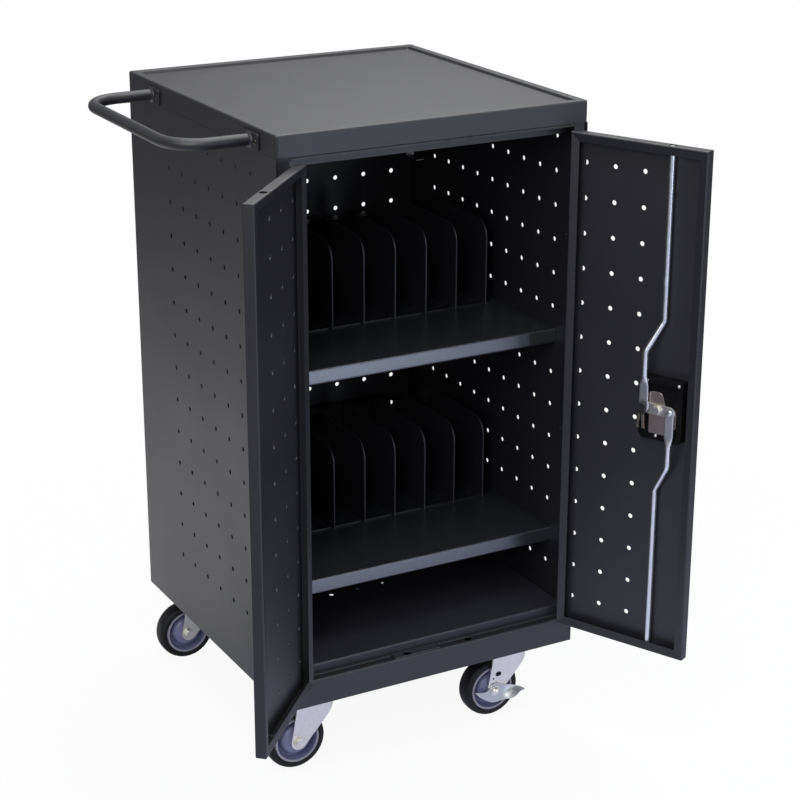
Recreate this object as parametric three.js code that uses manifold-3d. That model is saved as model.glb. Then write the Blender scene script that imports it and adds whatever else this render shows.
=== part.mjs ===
// Laptop charging cart: a sheet steel cabinet with two perforated front doors, two slotted shelves,
// a push handle on its left side and four swivel casters. The doors stand open, as in use.
import * as THREE from "three";
import { mergeVertices } from "three/addons/utils/BufferGeometryUtils.js";
import Module from "manifold-3d";

// Driving dimensions in millimetres. X runs from left to right, Y from front to back, Z upwards.
// Heights are above the underside of the base, and depths are behind the front plane.
const CABINET_WIDTH = 550;
const CABINET_DEPTH = 577;
const CABINET_HEIGHT = 951;
const BASE_CLEARANCE = 139; // floor to the underside of the base
const SHEET = 1.5; // thickness of the folded sheet steel
const FIT = 0.3; // gap left between pieces that touch

// Top cap: a tray with a raised rim
const CAP_HEIGHT = 35;
const RIM_WIDTH = 16;
const RIM_DEPTH = 5;

// Carcass
const BASE_THICKNESS = 2.5;
const REAR_FLANGE = 22;
const SILL_HEIGHT = 46;
const DOOR_RECESS = 24; // depth of the ledge in front of the door stops
const FLOOR_HEIGHT = 61;
const HEADER_DROP = 20;
const JAMB_WIDTH = 23;
const JAMB_SETBACK = 3;
const JAMB_RETURN = 60;

// Shelves and the dividers on them
const SHELF_FRONT = 74;
const SHELF_REAR_GAP = 47; // left for leads between shelf and cabinet back
const SHELF_LIP = 24;
const SHELF_RETURN = 14;
const SHELF_REAR_FLANGE = 15;
const UPPER_SHELF_HEIGHT = 550;
const LOWER_SHELF_HEIGHT = 186;
const SLOT_COUNT = 8;
const SLOT_SIDE_ROOM = 33.2; // outer dividers to the side panels
const DIVIDER_PLATE = 2;
const DIVIDER_CORNER = 30;
const DIVIDER_HEIGHT = 150;
const DIVIDER_FRONT = 245;
const DIVIDER_LENGTH = 200;
const RAIL_WIDTH = 14;
const RAIL_THICKNESS = 2;

// Power strips on the rear panel
const STRIP_LENGTH = 420;
const STRIP_HEIGHT = 42;
const STRIP_DEPTH = 40;
const STRIP_CHAMFER = 5;
const STRIP_ABOVE_SHELF = 60;
const SWITCH_INSET = 24; // switch centre from the right end of the strip
const ROCKER_WIDTH = 12;
const ROCKER_HEIGHT = 20;
const ROCKER_PROUD = 3;
const ROCKER_SEAT = 4; // depth of the rocker behind its pivot
const ROCKER_PIVOT_DEPTH = 2.5;
const ROCKER_CLEARANCE = 2.5;

// Power inlet in the rear panel
const INLET_WIDTH = 50;
const INLET_HEIGHT = 28;
const INLET_DEPTH = 24;
const INLET_FLANGE = 6;
const INLET_INSET = 70;
const INLET_ABOVE_FLOOR = 60;
const INLET_SOCKET_WALL = 6;

// Door catch that hangs from the cap
const CATCH_WIDTH = 14;
const CATCH_OFFSET = -15;
const CATCH_DEPTH = 61;
const CATCH_DROP = 36; // below the cap
const CATCH_REACH = 32;

// Push handle on the left side
const HANDLE_TUBE = 19;
const HANDLE_REACH = 123;
const HANDLE_FRONT = 86;
const HANDLE_REAR_INSET = 108;
const HANDLE_BEND = 62;
const HANDLE_DROP = 21.5; // below the rim
const HANDLE_PLATE_LENGTH = 62;
const HANDLE_PLATE_HEIGHT = 26;
const HANDLE_PLATE = 3;

// Doors: folded pans with a return lip all round
const DOOR_THICKNESS = 19;
const DOOR_LIP = 15;
const DOOR_SIDE_GAP = 6; // door edge to jamb
const DOOR_MIDDLE_GAP = 4;
const DOOR_BOTTOM_GAP = 5;
const DOOR_TOP_GAP = 7;
const LEFT_DOOR_OPEN = 133.5;
const RIGHT_DOOR_OPEN = 115;

// Lift-off hinges, with their axis in front of the door's face
const HINGE_OFFSET = 4; // from the door's edge, towards the jamb
const HINGE_PROUD = 4.5; // from the door's face, towards the front
const HINGE_BARREL = 10.6;
const HINGE_PIN = 6;
const HINGE_HEIGHT = 70;
const HINGE_LEAF = 2;
const HINGE_LEAF_WIDTH = 17;
const HINGE_END = 110; // hinge centre to the door's top or bottom

// Three-point lock on the right door
const LOCK_INSET = 64; // lock axis to the door's free edge
const LOCK_HEIGHT = 482;
const CUP_WIDTH = 78;
const CUP_HEIGHT = 104;
const CUP_BELOW_AXIS = 62;
const CUP_DEPTH = 20;
const CUP_WALL = 2;
const CUP_FLANGE = 5;
const LOCK_SHAFT = 12;
const GRIP_LENGTH = 62;
const GRIP_WIDTH = 14;
const GRIP_DEPTH = 9;
const GRIP_HUB = 26;
const BRACKET_LOBE = 30;
const BRACKET_SKIRT = 31;
const BRACKET_ARM = 36; // from the lock axis, under the lower rod
const BRACKET_ABOVE_AXIS = 34;
const BRACKET_BELOW_AXIS = 42;
const BRACKET_PLATE = 2;
const CAM_ARM = 24;
const CAM_END = 18;
const CAM_PLATE = 2.5;
const CAM_NUT = 15;
const CAM_NUT_HEIGHT = 5;

// Lock rods
const ROD = 9.5;
const ROD_INSET = 68; // straight rods to the door's free edge
const ROD_DEPTH = 9.5; // rod axis behind the door's face
const ROD_HOLE = 12.5;
const ROD_END = 1; // rod tip inside the door's edge, drawn back
const JOG_DISTANCE = 144; // start of the jog from the lock axis
const JOG_HEIGHT = 50;
const ROD_BEND = 18;
const BLADE_WIDTH = 16;
const BLADE_PLATE = 2.5;
const UPPER_BLADE = 54;
const LOWER_BLADE = 58;
const RIVET = 9;
const RIVET_HEIGHT = 2;

// Keys that hang on the upper rod
const KEY_HEAD_WIDTH = 15;
const KEY_HEAD_HEIGHT = 19;
const KEY_HEAD_DEPTH = 5;
const KEY_BLADE_WIDTH = 4.6;
const KEY_BLADE_LENGTH = 31;
const KEY_BLADE_DEPTH = 2;
const KEY_SPREAD = 4.5; // angle of each key from the vertical, in degrees

// Casters
const CASTER_SIDE_INSET = 85; // swivel axes from the cabinet's sides
const CASTER_FRONT_INSET = 66;
const CASTER_REAR_INSET = 51;
const CASTER_TRAIL = 42;
const WHEEL_DIAMETER = 105;
const WHEEL_WIDTH = 32;
const TYRE_DEPTH = 15;
const HUB_WEB = 10;
const HUB_BOSS = 26;
const HUB_BOSS_WIDTH = 39.4;
const AXLE = 12;
const AXLE_HEAD = 19;
const AXLE_HEAD_HEIGHT = 7;
const FORK_PLATE = 3;
const FORK_FRONT_REACH = 28; // fork crown ahead of the swivel axis
const FORK_CORNER = 17; // outer radius of the wrapped leading corners
const FORK_END = 28;
const CASTER_PLATE_LENGTH = 100;
const CASTER_PLATE_WIDTH = 74;
const CASTER_PLATE = 3;
const RACE = 54;
const RACE_HEIGHT = 8;
const KINGPIN = 12;
const KINGPIN_HEAD = 22;
const KINGPIN_HEAD_HEIGHT = 4;

// Brake pedals on the right casters
const PEDAL_PLATE = 2.5;
const PEDAL_REACH = 49; // from the axle to the foot's end
const PEDAL_TAIL = 39; // from the axle to the release end
const PEDAL_HEIGHT = 26;
const PEDAL_TONGUE = 27;
const PEDAL_TONGUE_WIDTH = 46;
const PEDAL_TONGUE_DROP = 6;

// Facets of round pieces
const WHEEL_SIDES = 28;
const TUBE_SIDES = 12;
const ROD_SIDES = 8;
const PIN_SIDES = 12;
const BEND_STEPS = 5;

// Places that follow from the dimensions above
const half = CABINET_WIDTH / 2;
const innerHalf = half - SHEET - FIT;
const capBottom = CABINET_HEIGHT - CAP_HEIGHT;
const capUnderside = CABINET_HEIGHT - RIM_DEPTH - SHEET;
const rearInner = CABINET_DEPTH - 2 * SHEET - FIT;
const jambInner = half - JAMB_WIDTH;
const doorEdge = jambInner - DOOR_SIDE_GAP;
const doorWidth = doorEdge - DOOR_MIDDLE_GAP / 2;
const doorBottom = SILL_HEIGHT + DOOR_BOTTOM_GAP;
const doorTop = capBottom - DOOR_TOP_GAP;
const hingeX = doorEdge + HINGE_OFFSET;
const rodAlong = doorWidth - ROD_INSET;
const lockAlong = doorWidth - LOCK_INSET;
const rodX = doorEdge - rodAlong;
const shelfRear = CABINET_DEPTH - SHELF_REAR_GAP;
const slotPitch = (2 * (innerHalf - SLOT_SIDE_ROOM)) / SLOT_COUNT;
const handleRear = CABINET_DEPTH - HANDLE_REAR_INSET;
const casterX = half - CASTER_SIDE_INSET;
const casterRear = CABINET_DEPTH - CASTER_REAR_INSET;

const wasm = await Module();
wasm.setup();

// Finishes
const finish = (color, roughness, metalness) =>
  new THREE.MeshStandardMaterial({ color, roughness, metalness });
const powderCoat = () => finish(0x2b2b30, 0.55, 0.3);
const zinc = () => finish(0xc4c9d0, 0.35, 0.9);
const blackPlastic = () => finish(0x17171a, 0.5, 0);
const hubPlastic = () => finish(0x6e7094, 0.45, 0);
const brass = () => finish(0x9a8257, 0.35, 0.9);
const tyreRubber = () => finish(0x1d1d20, 0.8, 0);

const cart = new THREE.Group();

function addPiece(parent, name, geometry, material) {
  const piece = new THREE.Mesh(geometry, material);
  piece.name = name;
  parent.add(piece);
  return piece;
}

// Solids that are joined and cut
function solidOf(geometry) {
  const bare = geometry.clone();
  bare.deleteAttribute("normal");
  bare.deleteAttribute("uv");
  const merged = mergeVertices(bare, 1e-4);
  return new wasm.Manifold(
    new wasm.Mesh({
      numProp: 3,
      vertProperties: merged.attributes.position.array,
      triVerts: new Uint32Array(merged.index.array),
    }),
  );
}

function geometryOf(solid) {
  const mesh = solid.getMesh();
  return new THREE.BufferGeometry()
    .setAttribute("position", new THREE.BufferAttribute(mesh.vertProperties, 3))
    .setIndex(new THREE.BufferAttribute(mesh.triVerts, 1));
}

const join = (first, ...rest) =>
  geometryOf(rest.reduce((sum, piece) => sum.add(solidOf(piece)), solidOf(first)));

const meet = (first, second) => geometryOf(solidOf(first).intersect(solidOf(second)));

const cut = (first, ...tools) =>
  geometryOf(tools.reduce((left, tool) => left.subtract(solidOf(tool)), solidOf(first)));

// A block between two opposite corners
function block(xa, xb, ya, yb, za, zb) {
  return new THREE.BoxGeometry(Math.abs(xb - xa), Math.abs(yb - ya), Math.abs(zb - za)).translate(
    (xa + xb) / 2,
    (ya + yb) / 2,
    (za + zb) / 2,
  );
}

// Round bars along each axis, from one end to the other, with flats facing the axes
function barAlongZ(x, y, za, zb, diameter, sides = PIN_SIDES) {
  return new THREE.CylinderGeometry(diameter / 2, diameter / 2, Math.abs(zb - za), sides)
    .rotateX(Math.PI / 2)
    .translate(x, y, (za + zb) / 2);
}

function barAlongY(x, z, ya, yb, diameter, sides = PIN_SIDES) {
  return new THREE.CylinderGeometry(diameter / 2, diameter / 2, Math.abs(yb - ya), sides)
    .rotateY(Math.PI / sides)
    .translate(x, (ya + yb) / 2, z);
}

const outline = (points) => new THREE.Shape(points.map(([a, b]) => new THREE.Vector2(a, b)));

const extrude = (shape, depth, curveSegments = 6) =>
  new THREE.ExtrudeGeometry(shape, { depth, bevelEnabled: false, curveSegments });

// A plan outline raised from one height to another
const raise = (shape, za, zb, curveSegments) => extrude(shape, zb - za, curveSegments).translate(0, 0, za);

// A side profile of (depth, height) points swept from left to right
function sweepAlongX(shape, xa, xb) {
  const turn = new THREE.Matrix4().makeBasis(
    new THREE.Vector3(0, 1, 0),
    new THREE.Vector3(0, 0, 1),
    new THREE.Vector3(1, 0, 0),
  );
  return extrude(shape, xb - xa).applyMatrix4(turn).translate(xa, 0, 0);
}

// A front outline of (across, height) points given thickness from front to back
function thickenAlongY(shape, ya, yb, curveSegments) {
  return extrude(shape, yb - ya, curveSegments)
    .rotateX(Math.PI / 2)
    .translate(0, yb, 0);
}

// A route that is sampled at its own stations, so that straight runs stay single segments
class StationRoute extends THREE.Curve {
  constructor(stations) {
    super();
    this.stations = stations;
  }
  getPoint(t) {
    const last = this.stations.length - 1;
    const i = Math.min(Math.floor(t * last), last - 1);
    return this.stations[i].clone().lerp(this.stations[i + 1], t * last - i);
  }
  getSpacedPoints() {
    return this.stations.map((station) => station.clone());
  }
  getTangentAt(u) {
    const last = this.stations.length - 1;
    const i = Math.round(u * last);
    const step = (a, b) => this.stations[b].clone().sub(this.stations[a]).normalize();
    const before = step(Math.max(i - 1, 0), Math.max(i, 1));
    const after = step(Math.min(i, last - 1), Math.min(i + 1, last));
    return before.add(after).normalize();
  }
}

// The stations of a run of straight lines whose corners are rounded to a bend radius
function bentStations(corners, bend) {
  const points = corners.map((corner) => new THREE.Vector3(...corner));
  const stations = [points[0]];
  for (let i = 1; i < points.length - 1; i++) {
    const back = points[i - 1].clone().sub(points[i]).normalize();
    const ahead = points[i + 1].clone().sub(points[i]).normalize();
    const spread = back.angleTo(ahead);
    const setback = bend / Math.tan(spread / 2);
    const middle = back.clone().add(ahead).normalize();
    const centre = points[i].clone().addScaledVector(middle, bend / Math.sin(spread / 2));
    const from = points[i].clone().addScaledVector(back, setback).sub(centre);
    const to = points[i].clone().addScaledVector(ahead, setback).sub(centre);
    const sweep = Math.PI - spread;
    for (let k = 0; k <= BEND_STEPS; k++) {
      const a = (sweep * k) / BEND_STEPS;
      const spoke = from
        .clone()
        .multiplyScalar(Math.sin(sweep - a) / Math.sin(sweep))
        .addScaledVector(to, Math.sin(a) / Math.sin(sweep));
      stations.push(centre.clone().add(spoke));
    }
  }
  stations.push(points[points.length - 1]);
  return stations;
}

// A round bar bent along a route
function bentBar(corners, bend, diameter, sides) {
  const stations = bentStations(corners, bend);
  const section = outline(
    Array.from({ length: sides }, (_, i) => {
      const angle = (2 * Math.PI * (i + 0.5)) / sides;
      return [(diameter / 2) * Math.cos(angle), (diameter / 2) * Math.sin(angle)];
    }),
  );
  return new THREE.ExtrudeGeometry(section, {
    steps: stations.length - 1,
    extrudePath: new StationRoute(stations),
    bevelEnabled: false,
  });
}

// A ring turned about the Y axis from a closed profile of (radius, depth) points, with a flat at its foot
function turned(profile) {
  const points = profile.map(([r, y]) => new THREE.Vector2(r / Math.cos(Math.PI / WHEEL_SIDES), y));
  points.push(points[0].clone());
  return new THREE.LatheGeometry(points, WHEEL_SIDES, Math.PI / WHEEL_SIDES);
}

// Cabinet shell
function buildShell() {
  const cap = cut(
    block(-half, half, 0, CABINET_DEPTH, capBottom, CABINET_HEIGHT),
    block(-half + SHEET, half - SHEET, SHEET, CABINET_DEPTH - SHEET, capBottom - SHEET, capUnderside),
    block(
      -half + RIM_WIDTH,
      half - RIM_WIDTH,
      RIM_WIDTH,
      CABINET_DEPTH - RIM_WIDTH,
      CABINET_HEIGHT - RIM_DEPTH,
      CABINET_HEIGHT + SHEET,
    ),
  );
  addPiece(cart, "top_cap", cap, powderCoat());

  for (const [side, name] of [[-1, "left"], [1, "right"]]) {
    const wall = [
      [side * half, 0],
      [side * half, CABINET_DEPTH],
      [side * (half - REAR_FLANGE), CABINET_DEPTH],
      [side * (half - REAR_FLANGE), CABINET_DEPTH - SHEET],
      [side * (half - SHEET), CABINET_DEPTH - SHEET],
      [side * (half - SHEET), 0],
    ];
    addPiece(cart, `${name}_side_panel`, raise(outline(wall), 0, capBottom - FIT), powderCoat());

    const jambFace = JAMB_SETBACK + SHEET;
    const jamb = [
      [side * jambInner, JAMB_SETBACK],
      [side * innerHalf, JAMB_SETBACK],
      [side * innerHalf, JAMB_RETURN],
      [side * (innerHalf - SHEET), JAMB_RETURN],
      [side * (innerHalf - SHEET), jambFace],
      [side * jambInner, jambFace],
    ];
    addPiece(
      cart,
      `${name}_jamb`,
      raise(outline(jamb), SILL_HEIGHT + FIT, capBottom - FIT),
      powderCoat(),
    );
  }

  const inletHeight = FLOOR_HEIGHT + INLET_ABOVE_FLOOR;
  const inletX = -half + INLET_INSET;
  const rear = cut(
    block(-innerHalf, innerHalf, rearInner, rearInner + SHEET, BASE_THICKNESS + FIT, capBottom - FIT),
    block(
      inletX - INLET_WIDTH / 2 - FIT,
      inletX + INLET_WIDTH / 2 + FIT,
      rearInner - SHEET,
      rearInner + 2 * SHEET,
      inletHeight - INLET_HEIGHT / 2 - FIT,
      inletHeight + INLET_HEIGHT / 2 + FIT,
    ),
  );
  addPiece(cart, "rear_panel", rear, powderCoat());
  buildInlet(inletX, inletHeight);

  addPiece(
    cart,
    "base_plate",
    block(-innerHalf, innerHalf, SHEET + FIT, rearInner + SHEET, 0, BASE_THICKNESS),
    powderCoat(),
  );
}

// Flanged mains inlet with an open socket that faces the rear
function buildInlet(x, z) {
  const outerFace = rearInner + SHEET + FIT + SHEET;
  const inlet = cut(
    join(
      block(
        x - INLET_WIDTH / 2,
        x + INLET_WIDTH / 2,
        outerFace - INLET_DEPTH,
        outerFace,
        z - INLET_HEIGHT / 2,
        z + INLET_HEIGHT / 2,
      ),
      block(
        x - INLET_WIDTH / 2 - INLET_FLANGE,
        x + INLET_WIDTH / 2 + INLET_FLANGE,
        outerFace - SHEET,
        outerFace,
        z - INLET_HEIGHT / 2 - INLET_FLANGE,
        z + INLET_HEIGHT / 2 + INLET_FLANGE,
      ),
    ),
    block(
      x - INLET_WIDTH / 2 + INLET_SOCKET_WALL,
      x + INLET_WIDTH / 2 - INLET_SOCKET_WALL,
      outerFace - INLET_DEPTH + INLET_SOCKET_WALL,
      outerFace + SHEET,
      z - INLET_HEIGHT / 2 + INLET_SOCKET_WALL,
      z + INLET_HEIGHT / 2 - INLET_SOCKET_WALL,
    ),
  );
  addPiece(cart, "power_inlet", inlet, blackPlastic());
}

// Front frame between the side panels, with the holes that the lock rods enter
function buildFrontFrame() {
  const rodHoles = (za, zb) =>
    [-1, 1].map((side) => barAlongZ(side * rodX, ROD_DEPTH, za, zb, ROD_HOLE));

  const sill = outline([
    [0, 0],
    [SHEET, 0],
    [SHEET, SILL_HEIGHT - SHEET],
    [DOOR_RECESS, SILL_HEIGHT - SHEET],
    [DOOR_RECESS, SILL_HEIGHT],
    [0, SILL_HEIGHT],
  ]);
  addPiece(
    cart,
    "front_sill",
    cut(
      sweepAlongX(sill, -innerHalf, innerHalf),
      ...rodHoles(SILL_HEIGHT - 2 * SHEET, SILL_HEIGHT + SHEET),
    ),
    powderCoat(),
  );

  const stop = DOOR_RECESS + FIT;
  const floor = outline([
    [stop, SILL_HEIGHT - SHEET],
    [stop + SHEET, SILL_HEIGHT - SHEET],
    [stop + SHEET, FLOOR_HEIGHT - SHEET],
    [rearInner - FIT, FLOOR_HEIGHT - SHEET],
    [rearInner - FIT, FLOOR_HEIGHT],
    [stop, FLOOR_HEIGHT],
  ]);
  const floorHalf = innerHalf - SHEET - FIT;
  addPiece(cart, "floor_pan", sweepAlongX(floor, -floorHalf, floorHalf), powderCoat());

  const ledge = capBottom - FIT;
  const header = outline([
    [JAMB_SETBACK, ledge - SHEET],
    [stop, ledge - SHEET],
    [stop, capBottom - HEADER_DROP],
    [stop + SHEET, capBottom - HEADER_DROP],
    [stop + SHEET, ledge],
    [JAMB_SETBACK, ledge],
  ]);
  const headerHalf = jambInner - FIT;
  addPiece(
    cart,
    "front_header",
    cut(
      sweepAlongX(header, -headerHalf, headerHalf),
      ...rodHoles(ledge - 2 * SHEET, ledge + SHEET),
    ),
    powderCoat(),
  );

  const foot = capBottom - CATCH_DROP;
  const hook = outline([
    [CATCH_DEPTH - CATCH_REACH, foot],
    [CATCH_DEPTH + SHEET, foot],
    [CATCH_DEPTH + SHEET, capUnderside - FIT],
    [CATCH_DEPTH, capUnderside - FIT],
    [CATCH_DEPTH, foot + SHEET],
    [CATCH_DEPTH - CATCH_REACH, foot + SHEET],
  ]);
  addPiece(
    cart,
    "door_catch",
    sweepAlongX(hook, CATCH_OFFSET - CATCH_WIDTH / 2, CATCH_OFFSET + CATCH_WIDTH / 2),
    zinc(),
  );
}

// A shelf with a folded front, an upturned rear edge and end flanges against the side panels
function shelfGeometry(height) {
  const profile = outline([
    [SHELF_FRONT, height],
    [SHELF_FRONT, height - SHELF_LIP],
    [SHELF_FRONT + SHELF_RETURN, height - SHELF_LIP],
    [SHELF_FRONT + SHELF_RETURN, height - SHELF_LIP + SHEET],
    [SHELF_FRONT + SHEET, height - SHELF_LIP + SHEET],
    [SHELF_FRONT + SHEET, height - SHEET],
    [shelfRear, height - SHEET],
    [shelfRear, height + SHELF_REAR_FLANGE],
    [shelfRear - SHEET, height + SHELF_REAR_FLANGE],
    [shelfRear - SHEET, height],
  ]);
  const ends = [-1, 1].map((side) =>
    block(
      side * innerHalf,
      side * (innerHalf - SHEET),
      SHELF_FRONT,
      shelfRear,
      height - SHELF_LIP,
      height,
    ),
  );
  return join(sweepAlongX(profile, -innerHalf, innerHalf), ...ends);
}

// Upright plates that keep the machines apart, welded to two flat rails that lie on the shelf
function dividerGeometry(height) {
  const foot = height + FIT;
  const rear = DIVIDER_FRONT + DIVIDER_LENGTH;
  const crown = foot + DIVIDER_HEIGHT;
  const span = SLOT_COUNT * slotPitch;
  const railHalf = span / 2 + RAIL_WIDTH;
  const rails = [DIVIDER_FRONT + RAIL_WIDTH, rear - RAIL_WIDTH].map((depth) =>
    block(
      -railHalf,
      railHalf,
      depth - RAIL_WIDTH / 2,
      depth + RAIL_WIDTH / 2,
      foot,
      foot + RAIL_THICKNESS,
    ),
  );
  const plate = new THREE.Shape();
  plate.moveTo(DIVIDER_FRONT, foot);
  plate.lineTo(rear, foot);
  plate.absarc(rear - DIVIDER_CORNER, crown - DIVIDER_CORNER, DIVIDER_CORNER, 0, Math.PI / 2, false);
  plate.absarc(
    DIVIDER_FRONT + DIVIDER_CORNER,
    crown - DIVIDER_CORNER,
    DIVIDER_CORNER,
    Math.PI / 2,
    Math.PI,
    false,
  );
  const plates = Array.from({ length: SLOT_COUNT + 1 }, (_, i) => {
    const x = i * slotPitch - span / 2;
    return sweepAlongX(plate, x - DIVIDER_PLATE / 2, x + DIVIDER_PLATE / 2);
  });
  return join(...rails, ...plates);
}

// Power strip with a pocket for its rocker switch, on the rear panel above a shelf
function buildPowerStrip(name, shelfHeight) {
  const low = shelfHeight + STRIP_ABOVE_SHELF;
  const high = low + STRIP_HEIGHT;
  const back = rearInner - FIT;
  const face = back - STRIP_DEPTH;
  const profile = outline([
    [back, low],
    [back, high],
    [face + STRIP_CHAMFER, high],
    [face, high - STRIP_CHAMFER],
    [face, low + STRIP_CHAMFER],
    [face + STRIP_CHAMFER, low],
  ]);
  const switchX = STRIP_LENGTH / 2 - SWITCH_INSET;
  const switchZ = (low + high) / 2;
  const pivotY = face + ROCKER_PIVOT_DEPTH;
  const pocketHalf = ROCKER_WIDTH / 2 + FIT;
  const pocketTall = ROCKER_HEIGHT / 2 + ROCKER_CLEARANCE;
  const body = cut(
    sweepAlongX(profile, -STRIP_LENGTH / 2, STRIP_LENGTH / 2),
    block(
      switchX - pocketHalf,
      switchX + pocketHalf,
      face - SHEET,
      pivotY + ROCKER_SEAT + ROCKER_CLEARANCE,
      switchZ - pocketTall,
      switchZ + pocketTall,
    ),
  );
  addPiece(cart, `${name}_power_strip`, body, blackPlastic());

  // The rocker's two faces meet in a shallow valley. It rests with its lower end pressed in.
  const reach = ROCKER_PIVOT_DEPTH + ROCKER_PROUD;
  const rocker = outline([
    [-reach, -ROCKER_HEIGHT / 2],
    [-ROCKER_PIVOT_DEPTH, 0],
    [-reach, ROCKER_HEIGHT / 2],
    [0, ROCKER_HEIGHT / 2],
    [ROCKER_SEAT, 0],
    [0, -ROCKER_HEIGHT / 2],
  ]);
  const tilt = Math.atan2(ROCKER_PROUD, ROCKER_HEIGHT);
  const key = sweepAlongX(rocker, -ROCKER_WIDTH / 2, ROCKER_WIDTH / 2).rotateX(tilt);
  addPiece(cart, `${name}_strip_switch`, key.translate(switchX, pivotY, switchZ), blackPlastic());
}

// Tubular push handle welded to two plates on the side of the cap
function buildHandle() {
  const z = CABINET_HEIGHT - HANDLE_DROP;
  const wallFace = -half - FIT;
  const gripX = -half - HANDLE_REACH;
  const tube = bentBar(
    [
      [wallFace - HANDLE_PLATE / 2, HANDLE_FRONT, z],
      [gripX, HANDLE_FRONT, z],
      [gripX, handleRear, z],
      [wallFace - HANDLE_PLATE / 2, handleRear, z],
    ],
    HANDLE_BEND,
    HANDLE_TUBE,
    TUBE_SIDES,
  );
  const plates = [HANDLE_FRONT, handleRear].map((y) =>
    block(
      wallFace - HANDLE_PLATE,
      wallFace,
      y - HANDLE_PLATE_LENGTH / 2,
      y + HANDLE_PLATE_LENGTH / 2,
      z - HANDLE_PLATE_HEIGHT / 2,
      z + HANDLE_PLATE_HEIGHT / 2,
    ),
  );
  addPiece(cart, "push_handle", join(tube, ...plates), powderCoat());
}

// Doors hang in groups that turn about their hinge axes. In a group, x is measured from the axis
// towards the jamb and y from the axis towards the cabinet.
const faceY = HINGE_PROUD;
const alongDoor = (side, along) => -side * (HINGE_OFFSET + along);

// A folded pan: a skin with edge flanges and a return lip that leaves its back open
function doorPan(side) {
  const at = (along) => alongDoor(side, along);
  const lipFace = faceY + DOOR_THICKNESS;
  return cut(
    block(at(0), at(doorWidth), faceY, lipFace, doorBottom, doorTop),
    block(
      at(SHEET),
      at(doorWidth - SHEET),
      faceY + SHEET,
      lipFace - SHEET,
      doorBottom + SHEET,
      doorTop - SHEET,
    ),
    block(
      at(DOOR_LIP),
      at(doorWidth - DOOR_LIP),
      lipFace - 2 * SHEET,
      lipFace + SHEET,
      doorBottom + DOOR_LIP,
      doorTop - DOOR_LIP,
    ),
    ...[doorBottom, doorTop].map((edge) =>
      barAlongZ(at(rodAlong), faceY + ROD_DEPTH, edge - 2 * SHEET, edge + 2 * SHEET, ROD_HOLE),
    ),
  );
}

// Each hinge is a pintle on the jamb and a barrel on the door that lifts off it
function buildHinges(side, name, doorGroup) {
  const levels = [
    ["lower", doorBottom + HINGE_END],
    ["upper", doorTop - HINGE_END],
  ];
  const leafBack = JAMB_SETBACK - FIT;
  const axisY = -HINGE_PROUD;
  for (const [level, middle] of levels) {
    const foot = middle - HINGE_HEIGHT / 2;
    const seam = middle - FIT / 2;
    const pintle = join(
      barAlongZ(side * hingeX, axisY, foot, seam, HINGE_BARREL),
      barAlongZ(side * hingeX, axisY, foot, middle + HINGE_HEIGHT / 2 - HINGE_LEAF, HINGE_PIN),
      block(
        side * (hingeX - HINGE_LEAF),
        side * (hingeX + HINGE_LEAF),
        axisY,
        leafBack,
        foot,
        seam,
      ),
      block(
        side * (hingeX - HINGE_LEAF),
        side * (hingeX + HINGE_LEAF_WIDTH),
        leafBack - HINGE_LEAF,
        leafBack,
        foot,
        seam,
      ),
    );
    addPiece(cart, `${name}_${level}_hinge_pintle`, pintle, powderCoat());

    const leafFace = faceY - FIT;
    const top = middle + HINGE_HEIGHT / 2;
    const barrel = cut(
      join(
        barAlongZ(0, 0, middle + FIT / 2, top, HINGE_BARREL),
        block(
          0,
          alongDoor(side, HINGE_LEAF_WIDTH),
          leafFace - HINGE_LEAF,
          leafFace,
          middle + FIT / 2,
          top,
        ),
      ),
      barAlongZ(0, 0, middle - HINGE_LEAF, top + HINGE_LEAF, HINGE_PIN + 4 * FIT),
    );
    addPiece(doorGroup, `${name}_${level}_hinge_barrel`, barrel, powderCoat());
  }
}

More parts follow.
